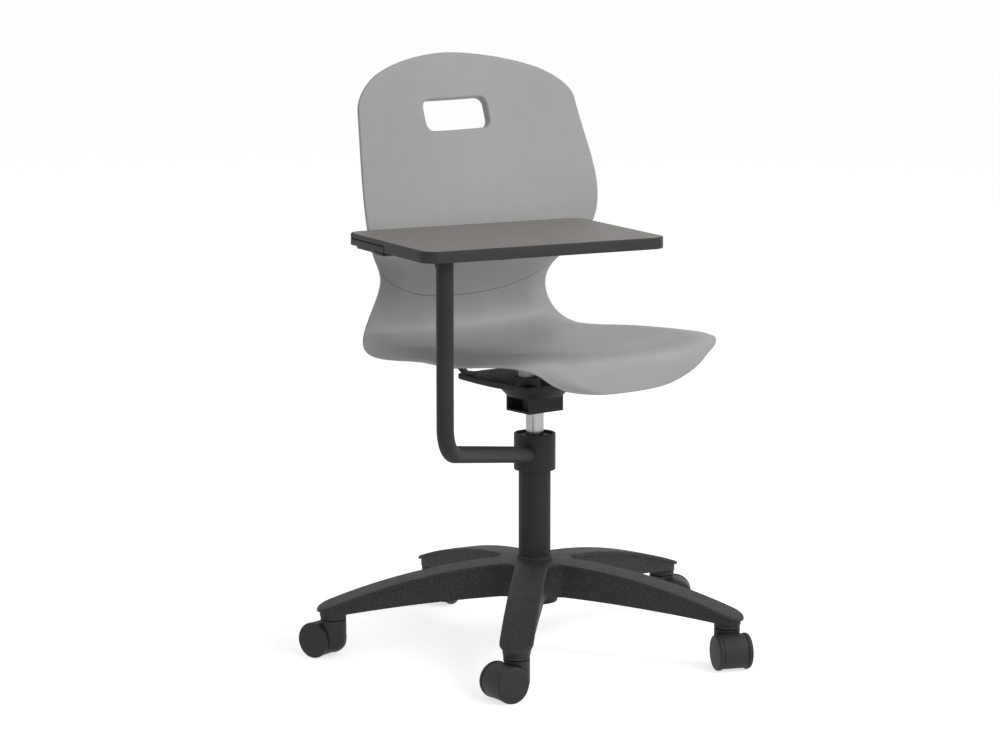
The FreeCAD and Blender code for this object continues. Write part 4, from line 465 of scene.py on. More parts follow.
class Form:
    """Collects surfaces made at their own origin, sets them in place and makes one object."""

    def __init__(self, name: str, place: Place = Place()) -> None:
        """Starts with no surface."""
        self.name = name
        self.place = place
        self.points: list[Array] = []
        self.quads: list[Array] = []
        self.marks: list[Array] = []
        self.count = 0

    def grid(self, points: Array, ring: bool = False, marks: Array | None = None) -> None:
        """Adds a surface given as rows and columns of points, in millimetres.

        Args:
            points: an array of rows, columns and three coordinates.
            ring: whether the last column joins the first.
            marks: a number for each point, which the mesh carries along.
        """
        points = self.place(points)
        rows, columns = points.shape[:2]
        number = np.arange(rows * columns).reshape(rows, columns) + self.count
        if ring:
            number = np.concatenate([number, number[:, :1]], axis=1)
        quads = np.stack([number[:-1, :-1], number[:-1, 1:], number[1:, 1:], number[1:, :-1]], -1)
        self.points.append(points.reshape(-1, 3))
        self.quads.append(quads.reshape(-1, 4))
        self.marks.append(np.full(rows * columns, 1.0) if marks is None else marks.reshape(-1))
        self.count += rows * columns

    def join(self, other: "Form") -> None:
        """Takes over another form's surfaces."""
        self.points += other.points
        self.quads += [quads + self.count for quads in other.quads]
        self.marks += other.marks
        self.count += other.count

    def build(self, body: str, skin: Skin, stands_for: tuple[str, ...] = (),
              sharp: float = 38.0, mark: str = "") -> None:
        """Joins the surfaces, turns their faces outwards and hangs the object on a body.

        Args:
            body: the CAD body that the piece rides on.
            skin: its finish.
            stands_for: CAD nodes that it replaces.
            sharp: edges with a larger angle than this, in degrees, stay sharp.
            mark: the name under which the mesh carries the marks.
        """
        points = np.concatenate(self.points)
        keys = np.round(points * WELDS_PER_MM).astype(np.int64)
        _, first, same = np.unique(keys, axis=0, return_index=True, return_inverse=True)
        quads = same.reshape(-1)[np.concatenate(self.quads)]
        faces = [tuple(dict.fromkeys(face)) for face in quads.tolist()]
        faces = [face for face in faces if len(face) > 2]
        mesh = bpy.data.meshes.new(self.name)
        mesh.from_pydata((points[first] * MM).tolist(), [], faces)
        if mark:
            layer = mesh.attributes.new(mark, "FLOAT", "POINT")
            layer.data.foreach_set("value", np.concatenate(self.marks)[first].astype(np.float32))
        work = bmesh.new()
        work.from_mesh(mesh)
        bmesh.ops.recalc_face_normals(work, faces=work.faces)
        work.to_mesh(mesh)
        work.free()
        mesh.shade_smooth()
        mesh.set_sharp_from_angle(angle=math.radians(sharp))
        mesh.materials.append(skin.material())
        piece = added(self.name, mesh)
        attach(piece, body)
        if stands_for:
            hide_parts(*stands_for)
        LOG.info("%s: %d faces", self.name, len(mesh.polygons))


def profile(points: Corners, steps: int = 5) -> Array:
    """Rounds a profile given as (radius, height) or (radius, height, corner round) corners."""
    corners = np.array([p[:2] for p in points], float)
    radii = np.array([p[2] if len(p) > 2 else 0.0 for p in points])
    return bent_line(corners, radii, steps)


def turned(form: Form, corners: Corners, segments: int = 72) -> None:
    """Adds a profile turned about Z, given by its corners."""
    form.grid(spun(profile(corners), full_turn(segments)), ring=True)


def rectangle(length: float, width: float, corner: float, inset: float = 0.0,
              steps: int = 8) -> Array:
    """Gives the outline of a rectangle with round corners, pulled in by an inset.

    Each corner is an arc of radius corner - inset about a centre that the inset doesn't move.
    """
    x, y = length / 2.0 - corner, width / 2.0 - corner
    radius = max(corner - inset, 0.0)
    turn = np.linspace(0.0, math.pi / 2.0, steps + 1)
    out = []
    for number, (cx, cy) in enumerate(((x, y), (-x, y), (-x, -y), (x, -y))):
        angle = turn + number * math.pi / 2.0
        out.append(joined(cx + radius * np.cos(angle), cy + radius * np.sin(angle)))
    return np.concatenate(out)


def slab(form: Form, length: float, width: float, floor: float, height: float, corner: float,
         top: float = 0.0, bottom: float = 0.0, move: Place = Place()) -> None:
    """Adds a plate with round corners and rounded edges.

    Rings of the outline go from the middle of the lower face, out, round the lower edge, up,
    round the upper edge and back to the middle.
    """
    (inward, up), (left, outward) = quarter(bottom), quarter(top)
    insets = np.concatenate([inward, outward])
    heights = np.concatenate([floor + up, floor + height - left])
    rings = [joined(*rectangle(length, width, corner, i).T, z) for i, z in zip(insets, heights)]
    middle = np.array([0.0, 0.0, 1.0])
    rings = [rings[0] * middle] + rings + [rings[-1] * middle]
    form.grid(move(np.array(rings)), ring=True)


def swept(form: Form, path: Array, section: Array, up: Triple) -> None:
    """Carries a section along a path.

    The section's first number goes along the side, which is up x direction, and its second along
    direction x side, so a path in a plane that holds up doesn't twist.
    """
    ahead = np.gradient(path, axis=0)
    ahead /= np.linalg.norm(ahead, axis=1)[:, None]
    side = np.cross(np.array(up), ahead)
    side /= np.linalg.norm(side, axis=1)[:, None]
    over = np.cross(ahead, side)
    points = (path[:, None] + side[:, None] * section[None, :, :1]
              + over[:, None] * section[None, :, 1:])
    first, last = path[0] + 0.0 * points[:1], path[-1] + 0.0 * points[:1]
    form.grid(np.concatenate([first, points, last]), ring=True)


@dataclass(frozen=True)
class End:
    """A rounded end of the shell: the share of the profile that it takes up and its power.

    The corner is the share of the width at which the grid's side rows start, and the bow is the
    share of the rows that bend with the end.
    """

    zone: float
    power: float
    corner: float
    bow: float

    def width(self, along: Array) -> Array:
        """Gives the width near the end: (1 - (1 - along / zone) ** power) ** (1 / power)."""
        rest = 1.0 - np.clip(along / self.zone, 0.0, 1.0)
        return (1.0 - rest ** self.power) ** (1.0 / self.power)

    def length(self, across: Array | float) -> Array:
        """Gives how far from the end the outline reaches a share of its width."""
        return self.zone * (1.0 - (1.0 - np.abs(across) ** self.power) ** (1.0 / self.power))

    def drawn(self, row: Array, column: Array) -> Array:
        """Gives how far the grid is drawn towards the end, less and less over the bow."""
        far = self.length(self.corner) - self.length(self.corner * column)
        return far * np.clip(1.0 - row / self.bow, 0.0, None) ** 2


@dataclass
class SeatShell:
    """The one-piece seat and back, in millimetres."""

    shares: Row = (0, .056, .146, .295, .405, .50, .592, .721, .860, 1.0)
    depth: Row = (-227, -216, -138.5, -6.5, 90, 174.5, 174.5, 146, 184, 227)
    height: Row = (434, 484, 487, 480.5, 471, 487, 559.5, 647, 784.5, 919)
    half: Row = (124.5, 172.5, 237.5, 233.5, 232, 200, 168, 224.5, 222, 207)
    side_shares: Row = (0, .35, .56, 1.0)
    wrap: Row = (14, 16, 17.5, 46)
    curl: Row = (15, 21.5, 13, 2.5)
    span: float = 200.0
    front: End = End(0.044, 2.57, 0.8, 0.2)
    top: End = End(0.096, 1.75, 0.75, 0.35)
    curl_start: float = 0.72
    thickness: float = 6.0
    slot_half: Pair = (63.25, 25.0)
    slot_corner: float = 14.0
    slot_height: float = 823.5
    slot_depth: float = 14.0
    slot_wall: float = 3.0
    slot_round: float = 3.0
    slot_lip: float = 1.2
    margin: float = 14.0
    rows: int = 170
    columns: int = 110
    seam_height: float = 537.0
    seam_rise: Pair = (8.5e-4, 2.3e-8)
    net_inset: Pair = (3.0 / 1000.0, 3.0 / 225.0)
    net_rows: Pair = (0.08, 0.84)
    net_columns: float = 0.93
    slot_search: Pair = (0.7, 0.99)
    bosses: tuple[Triple, ...] = (
        (93.34, 93.34, 446.1), (-93.34, 93.34, 446.1), (-93.34, -93.34, 451.1),
        (93.34, -93.34, 451.1))
    boss_radius: float = 12.0
    courses: dict[str, Course] = field(default_factory=dict)

    def __post_init__(self) -> None:
        """Lays the splines through the stations."""
        for name in ("depth", "height", "half"):
            self.courses[name] = Course(self.shares, getattr(self, name))
        for name in ("wrap", "curl"):
            self.courses[name] = Course(self.side_shares, getattr(self, name))

    def narrowing(self, u: Array) -> Array:
        """Gives the share of the full width that the rounded ends leave."""
        return self.front.width(u) * self.top.width(1.0 - u)

    def laid_out(self, row: Array, column: Array) -> tuple[Array, Array]:
        """Gives the profile share and the distance from the middle plane of grid places."""
        first, last = (end.length(end.corner) for end in (self.front, self.top))
        side = first + row * (1.0 - first - last)
        u = side - self.front.drawn(row, column) + self.top.drawn(1.0 - row, column)
        return u, column * self.narrowing(side) * self.courses["half"].value(u)

    def surface(self, u: Array, x: Array, depth: Array | float) -> Array:
        """Gives points of the shell.

        The profile's point is moved along the profile's normal by wrap * (x / span) ** 2, less the
        curl of the edge, which grows with the square of the distance past curl_start, less depth.

        Args:
            u: shares of the profile.
            x: distances from the middle plane.
            depth: how far below the face one sits on.

        Returns:
            The points.
        """
        share = self.narrowing(u)
        edge = share * self.courses["half"].value(u)
        across = np.clip(np.abs(x) / np.maximum(edge, 1e-6), 0.0, 1.0)
        curl = (np.clip(across - self.curl_start, 0.0, None) / (1.0 - self.curl_start)) ** 2
        lift = self.courses["wrap"].value(u) * (x / self.span) ** 2
        lift = lift - self.courses["curl"].value(u) * curl * share - depth
        dy, dz = self.courses["depth"].slope(u), self.courses["height"].slope(u)
        length = np.hypot(dy, dz)
        y = self.courses["depth"].value(u) - dz / length * lift
        z = self.courses["height"].value(u) + dy / length * lift
        return joined(x, y, z)

    def seam(self, points: Array) -> Array:
        """Gives the height above the seam, in metres, which rises with x ** 2 and x ** 4."""
        x2 = points[..., 0] ** 2
        rise = x2 * (self.seam_rise[0] + x2 * self.seam_rise[1])
        return (points[..., 2] - self.seam_height - rise) * MM

    def height_over(self, x: float, y: float, depth: float) -> float:
        """Gives the height of the seat over a place, looked up along a line from front to back."""
        u = np.linspace(0.1, 0.5, 2000)
        line = self.surface(u, np.full_like(u, x), depth)
        return float(np.interp(y, line[:, 1], line[:, 2]))

    def boss(self, x: float, y: float, floor: float) -> Form:
        """Makes a screw boss that reaches up into the middle of the seat's thickness."""
        form = Form("boss", Place(x, y))
        top = self.height_over(x, y, self.thickness / 2.0)
        turned(form, ((0, floor), (self.boss_radius, floor, 1.0), (self.boss_radius, top),
                      (0, top)), 40)
        return form

    def net(self) -> tuple[Array, Array]:
        """Gives the profile share and the distance from the middle plane of the shell's grid.

        Rows lie closer near both ends, as the cosine of their number does, and columns closer near
        both sides, as its sine does.
        """
        (first, reach), (inset_row, inset_column) = self.net_rows, self.net_inset
        row = 0.5 - 0.5 * np.cos(np.pi * (first + reach * np.linspace(0, 1, self.rows)))
        row = (row - row[0]) / (row[-1] - row[0])
        row = inset_row + row * (1.0 - 2.0 * inset_row)
        column = np.sin(0.5 * np.pi * self.net_columns * np.linspace(-1, 1, self.columns))
        column = column / column[-1] * (1.0 - inset_column)
        return self.laid_out(*np.meshgrid(row, column, indexing="ij"))

    def build(self) -> None:
        """Builds both skins, the rim, the slot's collar and the bosses as one piece."""
        form = Form("shell")
        u, x = self.net()
        skins = [self.surface(u, x, 0.0), self.surface(u, x, self.thickness)]
        every = slice(None)
        fine = np.linspace(*self.slot_search, 2000)
        centre = float(np.interp(self.slot_height, self.courses["height"].value(fine), fine))
        at = np.array([centre])
        slopes = [self.courses[name].slope(at) for name in ("depth", "height")]
        speed = float(np.hypot(*slopes)[0])
        above = (u[:, self.columns // 2] - centre) * speed
        reach_x, reach_s = (half + self.margin for half in self.slot_half)
        low = int(np.searchsorted(above, -reach_s)) - 1
        high = int(np.searchsorted(above, reach_s))
        across = x[(low + high) // 2]
        left = int(np.searchsorted(across, -reach_x)) - 1
        right = int(np.searchsorted(across, reach_x))
        upright = slice(low, high + 1)
        for skin, face in zip(skins, (True, False)):
            marks = self.seam(skin) if face else np.full(skin.shape[:2], 1.0)
            for rows, columns in ((slice(low + 1), every), (slice(high, None), every),
                                  (upright, slice(left + 1)), (upright, slice(right, None))):
                form.grid(skin[rows, columns], marks=marks[rows, columns])
        loop = [(i, left) for i in range(low, high)] + [(high, j) for j in range(left, right)]
        loop += [(i, right) for i in range(high, low, -1)]
        loop += [(low, j) for j in range(right, left, -1)]
        i, j = np.array(loop).T
        self.collar(form, centre, speed, x[i, j], (u[i, j] - centre) * speed)
        for place, sign in (((every, 0), -1.0), ((every, -1), 1.0), ((0, every), 1.0),
                            ((-1, every), -1.0)):
            self.edge_strip(form, skins[0][place], skins[1][place], sign)
        for x, y, floor in self.bosses:
            form.join(self.boss(x, y, floor))
        form.build("seat", Skin.SHELL, ("seat_shell",), sharp=50.0, mark="seam")

    def collar(self, form: Form, centre: float, speed: float, a: Array, b: Array) -> None:
        """Adds the slot's collar, from the hole in the front skin round to the back skin's hole.

        Args:
            form: the shell's form.
            centre: the profile share of the slot's middle.
            speed: how many millimetres one profile share is there.
            a: how far from the middle plane the hole's points lie.
            b: how far above the slot's middle they lie.
        """
        corner = self.slot_corner
        heart_a, heart_b = (np.clip(value, -(half - corner), half - corner)
                            for value, half in zip((a, b), self.slot_half))
        da, db = a - heart_a, b - heart_b
        length = np.hypot(da, db)
        da, db = da / length, db / length
        share = np.linspace(1.0, 0.0, 7)
        none, full = np.zeros(6), np.ones(7)
        inward, down = quarter(self.slot_round, 5)
        rest, gone = quarter(self.slot_lip, 5)
        deep, wall, back = self.slot_depth, self.slot_wall, self.thickness
        steps = ((full * self.slot_round, 0.0 * full, share), (inward, down, none),
                 (gone, deep - rest, none), (wall - rest, deep - gone, none),
                 (wall + gone, back + rest, none),
                 (full * (wall + self.slot_lip), full * back, share[::-1]))
        offset, depth, blend = (np.concatenate(column)[:, None] for column in zip(*steps))
        ring_a = (heart_a + (corner + offset) * da) * (1.0 - blend) + a * blend
        ring_b = (heart_b + (corner + offset) * db) * (1.0 - blend) + b * blend
        form.grid(self.surface(centre + ring_b / speed, ring_a, depth), ring=True)

    def edge_strip(self, form: Form, face: Array, back: Array, sign: float) -> None:
        """Adds the rounded edge: a half circle from one skin to the other, bulging outwards."""
        along = np.gradient(face, axis=0)
        through = face - back
        out = np.cross(along, through) * sign
        out /= np.linalg.norm(out, axis=1)[:, None]
        angle = np.linspace(0.0, math.pi, 9)[:, None, None]
        middle = (face + back) / 2.0
        bulge = np.sin(angle) * out * self.thickness / 2.0
        form.grid(middle + np.cos(angle) * through / 2.0 + bulge)


@dataclass
class Star:
    """The five-leg base, in millimetres."""

    flange: Pair = (25.5, 20.0)
    web: Pair = (21.0, 24.5)
    hollow: Pair = (17.5, 2.0)
    hollow_end: float = 279.0
    dome: Pair = (965.0, 142.26)
    belly: Pair = (2669.0, 87.905)
    plate: float = 5.0
    lid: float = 5.5
    edge: float = 2.2
    small_edge: float = 0.8
    ribs: Row = (109.5, 155.6, 201.7, 247.8)
    rib_wall: float = 3.0
    rib_bite: float = 1.0
    bore: float = 24.5
    hub: Corners = ((25.1, 141), (24.3, 74), (36, 74, 1), (36, 141), (25.1, 141))
    hub_ring: Corners = (
        (25.1, 138), (25.1, 146.9, .6), (27, 146.9, 1.2), (27.8, 140.5, .5), (36, 139),
        (25.1, 138))
    socket: Corners = (
        (5.6, 80), (5.6, 61.5, .5), (20, 61.5, .8), (20, 64.6), (19.6, 65, .2), (20, 65.4),
        (20, 80), (5.6, 80))

    def outline(self, half: float, concave: float, end: float) -> Array:
        """Gives the outline of five legs with round ends and concave rounds between them.

        A leg's edges lie half away from its axis. The round between two legs is centred on their
        bisector at (half + concave) / sin 36 degrees, and its tangent points lie
        (half + concave) / tan 36 degrees along each leg.
        """
        reach = (half + concave) / math.tan(math.radians(LEG_STEP / 2.0))
        tip = np.linspace(-math.pi / 2.0, math.pi / 2.0, 25)
        arc = np.linspace(-math.pi / 2.0, math.radians(LEG_STEP - 270.0), 17)
        run = np.linspace(reach, end, 26)[1:-1]
        leg = np.concatenate([
            joined(run, -half), joined(end + half * np.cos(tip), half * np.sin(tip)),
            joined(run[::-1], half),
            joined(reach + concave * np.cos(arc), half + concave + concave * np.sin(arc))])
        out = []
        for turn in LEGS:
            a = math.radians(turn)
            out.append(leg @ np.array([[math.cos(a), math.sin(a)], [-math.sin(a), math.cos(a)]]))
        return np.concatenate(out)

    @staticmethod
    def sphere(points: Array, radius: float, top: float) -> Array:
        """Gives the height of a sphere over points: top - radius + sqrt(radius ** 2 - r ** 2)."""
        r2 = (points[..., :2] ** 2).sum(-1)
        return top - radius + np.sqrt(radius ** 2 - r2)

    def build(self) -> None:
        """Builds the flange and the legs' walls as one piece, and the hub, the sockets and the
        ribs as a second piece.
        """
        form = Form("star")
        rings: list[Array] = []

        def ring(shape: Pair, inset: float, drop: float, under: bool = False, scale: float = 1.0,
                 end: float = STEM_CIRCLE) -> None:
            """Adds one outline, drop below the dome or above the belly.

            A scale s below 1 draws each point p in towards the bore: p s + bore (1 - s) p / |p|.
            """
            flat = self.outline(shape[0] - inset, shape[1] + inset, end)
            length = np.linalg.norm(flat, axis=1)[:, None]
            flat = flat * (scale + (1.0 - scale) * self.bore / length)
            base = self.sphere(flat, *(self.belly if under else self.dome))
            rings.append(joined(*flat.T, base + (drop if under else -drop)))

        for scale in np.linspace(0.0, 1.0, 14):
            ring(self.flange, self.edge, 0.0, scale=scale)
        for inset, drop in list(zip(*quarter(self.edge)))[1:]:
            ring(self.flange, inset, drop)
        small = self.small_edge
        for up, inset in zip(*quarter(small)):
            ring(self.flange, inset, self.plate - up)
        ring(self.web, -small, self.plate)
        ring(self.web, 0.0, self.plate + small)
        for up, inset in zip(*quarter(small)):
            ring(self.web, inset, up, True)
        ring(self.hollow, 0.0, 0.0, True, end=self.hollow_end)
        for scale in np.linspace(1.0, 0.0, 9):
            ring(self.hollow, 0.0, self.lid, False, scale, self.hollow_end)
        form.grid(np.array(rings + rings[:1]), ring=True)
        form.build("base", Skin.NYLON, ("star_base",), sharp=60.0)
        self.inner_parts()

    def inner_parts(self) -> None:
        """Builds the hub with its ring, the sockets and the ribs, which meet the star's walls."""
        form = Form("hub")
        turned(form, self.hub)
        turned(form, self.hub_ring)
        for turn in LEGS:
            socket = Form("socket", Place.out(STEM_CIRCLE, turn, turn))
            turned(socket, self.socket, 56)
            form.join(socket)
            for radius in self.ribs:
                at = np.array([radius, 0.0])
                floor = float(self.sphere(at, *self.belly))
                height = float(self.sphere(at, *self.dome)) - self.plate - floor
                rib = Form("rib", Place.out(radius, turn, turn))
                slab(rib, self.rib_wall, self.hollow[0] * 2.0 + self.rib_bite, floor, height,
                     0.5, 0.0, 0.5)
                form.join(rib)
        form.build("base", Skin.NYLON, sharp=45.0)


@dataclass
class Lift:
    """The stand tube, its sleeve, the gas cylinder and the collar on the tube."""

    def build(self) -> None:
        """Builds the turned pieces on the column's axis."""
        for name, body, skin, nodes, line in (
            ("stand_tube", "base", Skin.STEEL, ("gas_column",),
             [(5.3, 72), (24, 72, .8), (25, 147), (25, 334.5, .8), (23, 334.5), (23, 147),
              (22, 75), (5.3, 75), (5.3, 72)]),
            ("guide_sleeve", "base", Skin.PLASTIC, ("column_guide_sleeve",),
             [(14.1, 262), (22.9, 262), (22.9, 334.6), (24.6, 334.6, .2), (24.6, 337, .8),
              (14.6, 337, .5), (14.1, 336), (14.1, 262)]),
            ("bright_cylinder", "seat", Skin.CYLINDER, ("gas_cylinder",),
             [(5.1, 150), (14, 150, 1), (14, 372, 4), (13, 404, .5), (3.1, 404)]),
            ("collar", "writing_arm", Skin.STEEL, ("arm_collar",),
             [(28.5, 283.3), (32.5, 283.3, 1.2), (32.5, 340.8, 1.2), (28.5, 340.8, .5),
              (28.5, 283.3)]),
            ("collar_liner", "writing_arm", Skin.PLASTIC, ("collar_bush",),
             [(25.3, 284), (28.4, 284), (28.4, 337, .5), (25.3, 337, .5), (25.3, 284)])):
            form = Form(name)
            turned(form, line)
            form.build(body, skin, nodes, sharp=45.0)


@dataclass
class SeatBracket:
    """The pressed dish, the plate with turned-down sides over it and its hooks, in millimetres."""

    half: float = 86.5
    power: float = 30.0
    top: float = 432.0
    low: Pair = (421.0, 2.7)
    corner_excess: float = 0.38
    hole: float = 19.1
    floor: float = 401.0
    flat: float = 44.0
    rate: float = 1.05
    reach: float = 71.0
    sheet: float = 3.0
    corner: float = 2.0
    lip: float = 0.8
    notch: Triple = (9.0, 45.5, 427.0)
    hooks: tuple[Pair, ...] = (
        (45.0, 442.0), (135.0, 442.0), (225.0, 447.0), (315.0, 447.0))
    hook_size: Triple = (36.0, 4.0, 0.8)
    hook_run: Row = (92.0, 107.0, 117.5, 146.5)
    hook_sinks: Pair = (1.2, 0.4)
    lug_size: Triple = (14.0, 2.5, 17.0)
    lug_place: Pair = (27.0, 5.55)

    def at_lever(self, angle: Array) -> Array:
        """Tells which directions lie in the notch for the lever."""
        return np.abs(np.degrees((angle + np.pi) % (2.0 * np.pi) - np.pi)) < self.notch[0]

    @staticmethod
    def carried(form: Form, angle: Array, radii: list[Array], heights: list[Array]) -> None:
        """Adds a section carried round the axis, with its radii and heights in each direction."""
        radius, height = np.concatenate(radii), np.concatenate(heights)
        form.grid(joined(radius * np.cos(angle), radius * np.sin(angle), height), ring=True)

    def plate(self, form: Form, angle: Array) -> None:
        """Adds the plate: over the top, down the turned-down side and back below.

        Its outline is half / (|cos| ** power + |sin| ** power) ** (1 / power), a square with soft
        corners, and the side's lower edge rises a little towards the corners.
        """
        powers = np.abs(np.cos(angle)) ** self.power + np.abs(np.sin(angle)) ** self.power
        out = self.half / powers ** (1.0 / self.power)
        low = self.low[0] + self.low[1] * (out / self.half - 1.0) / self.corner_excess
        low = np.where(self.at_lever(angle), self.notch[2], low)
        level = np.zeros((7, 1)) * out
        share = np.linspace(0.0, 1.0, 7)[:, None]
        inward, down = (value[:, None] for value in quarter(self.corner))
        up, lip = (value[:, None] for value in quarter(self.lip))
        inside = out - self.sheet
        self.carried(form, angle, [
            share * (out - self.corner), out - inward, out - lip, inside[None],
            share[::-1] * inside], [
            level + self.top, self.top - down + 0.0 * out, low + up, low[None],
            level + self.top - self.sheet])

    def dish(self, form: Form, angle: Array) -> None:
        """Adds the dish: level round the bush, then a cone up to the plate, cut at the lever."""
        out = np.where(self.at_lever(angle), self.notch[1], self.reach)
        share = np.linspace(0.0, 1.0, 8)[:, None]
        run = np.concatenate([self.hole + 0.0 * out[None], self.flat + share * (out - self.flat)])
        face = self.floor + self.rate * np.clip(run - self.flat, 0.0, None)
        self.carried(form, angle, [run, run[::-1], run[:1]],
                     [face, face[::-1] + self.sheet, face[:1]])

    def build(self) -> None:
        """Builds the plate, the dish, the hooks that carry the shell and the lugs of the lever."""
        form = Form("seat_bracket_form")
        angle = full_turn(360)
        self.plate(form, angle)
        self.dish(form, angle)
        section = rectangle(*self.hook_size)
        for turn, pad in self.hooks:
            hook = Form("hook", Place(turn=turn))
            first, second = (self.top - sink for sink in self.hook_sinks)
            level = pad + self.hook_size[1] / 2.0
            path = joined(np.array(self.hook_run), 0.0, np.array([first, second, level, level]))
            swept(hook, bent_line(path, np.array([0, 5, 5, 0])), section, (0.0, 0.0, 1.0))
            form.join(hook)
        (length, width, height), (x, y) = self.lug_size, self.lug_place
        for side in (-1.0, 1.0):
            slab(form, length, width, self.floor + 2.0, height, 1.0, top=0.5,
                 move=Place(x, side * y))
        form.build("seat", Skin.STEEL, ("seat_bracket",), sharp=32.0)


@dataclass
class WritingArm:
    """The bent tube, the turning post and the tablet, in millimetres."""

    azimuth: float = 211.11
    rise: float = 10.23
    start: float = 305.6
    reach: float = 389.0
    bend: float = 46.0
    root: float = 26.0
    tube: float = 12.7
    seam: float = 583.0
    bush: Corners = (
        (8.8, 540), (10.6, 540), (10.6, 583.1), (12.7, 583.1, .3), (12.7, 584.6, .3),
        (8.8, 584.6), (8.8, 540))
    post: Corners = (
        (0, 542.9), (8.5, 542.9, .5), (8.5, 584.9), (12.7, 584.9, .4), (12.7, 657.8), (0, 657.8))
    tablet: Place = Place(-172.7, -142.9, turn=-11.68)
    size: Triple = (395.0, 275.0, 17.0)
    floor: float = 660.9
    corner: float = 25.0
    band: float = 3.0
    band_edges: Pair = (0.96, 1.6)
    notch: Triple = (20.0, 114.0, 10.0)
    notch_gap: float = 0.1
    strip_width: float = 21.0
    strip_out: float = 1.0
    strip_rounds: Triple = (1.5, 0.8, 0.8)
    strip: tuple[Triple, ...] = (
        (114.0, 0.0, 9.0), (92.0, -3.0, 1.0), (30.0, -4.5, 1.0))

    def arm(self) -> None:
        """Builds the tube from the collar round its bend to the seam."""
        form = Form("arm", Place(turn=self.azimuth))
        rise = math.radians(self.rise)
        corner = (self.reach, 0.0, self.start + self.reach * math.tan(rise))
        root = (self.root, 0.0, self.start + self.root * math.tan(rise))
        path = bent_line(np.array([root, corner, (self.reach, 0.0, self.seam - 2.0)]),
                         np.array([0, self.bend, 0]), 22)
        path = np.concatenate([path, [[self.reach, 0.0, self.seam]]])
        angle = full_turn(48)
        section = self.tube * joined(np.cos(angle), np.sin(angle))
        swept(form, path, section, (0.0, 1.0, 0.0))
        form.build("writing_arm", Skin.STEEL, ("arm_tube",), sharp=45.0)
        place = Place.out(self.reach, self.azimuth)
        form = Form("post_bush", place)
        turned(form, self.bush, 48)
        form.build("writing_arm", Skin.PLASTIC, ("post_bush",))
        form = Form("turning_post", place)
        turned(form, self.post, 48)
        form.build("tablet", Skin.STEEL, ("tablet_post",))

    def edge(self) -> None:
        """Builds the tablet's moulded edge, thinner over the notch in its short side.

        The section goes from the inner lower corner, out round the lower edge, up and in round the
        upper edge. In the notch its lower part starts as much higher as the notch is tall.
        """
        form = Form("tablet_edge", self.tablet)
        length, width, height = self.size
        low = width / 2.0 - self.notch[0] - self.notch[1] - self.notch_gap
        high = width / 2.0 - self.notch[0] + self.notch_gap
        steps = 12
        at = 2 * (steps + 1)
        (low_inset, low_rise), (top_rest, top_inset) = map(quarter, self.band_edges)
        insets = np.concatenate([[self.band], low_inset, top_inset, [self.band]])
        heights = np.concatenate([[0.0], low_rise, height - top_rest, [height]])
        columns = []
        for inset in insets:
            line = rectangle(length, width, self.corner, inset, steps)
            x = line[at, 0]
            extra = np.array([(x, high), (x, high), (x, low), (x, low)])
            columns.append(np.concatenate([line[:at], extra, line[at:]]))
        flat = np.array(columns)
        lift = np.zeros(flat.shape[1])
        lift[at + 1:at + 3] = self.notch[2]
        z = self.floor + heights[:, None] + lift * (heights[:, None] < self.notch[2])
        points = joined(flat[..., 0], flat[..., 1], z)
        form.grid(np.concatenate([points, points[:1]]), ring=True)
        form.build("tablet", Skin.PLASTIC, ("tablet_edge_band",), sharp=35.0)

    def clip(self) -> None:
        """Builds the strip in the notch, which stands out a little and steps down below it."""
        form = Form("edge_strip", self.tablet)
        length, width, _ = self.size
        front = width / 2.0 - self.notch[0] - self.notch[1]
        for reach, low, high in self.strip:
            middle = Place((self.strip_width - length) / 2.0 - self.strip_out, front + reach / 2.0)
            slab(form, self.strip_width, reach, self.floor + low, high - low,
                 *self.strip_rounds, middle)
        form.build("tablet", Skin.PLASTIC, ("tablet_edge_clip",))

    def build(self) -> None:
        """Builds the arm, the tablet's edge and the strip in it."""
        self.arm()
        self.edge()
        self.clip()


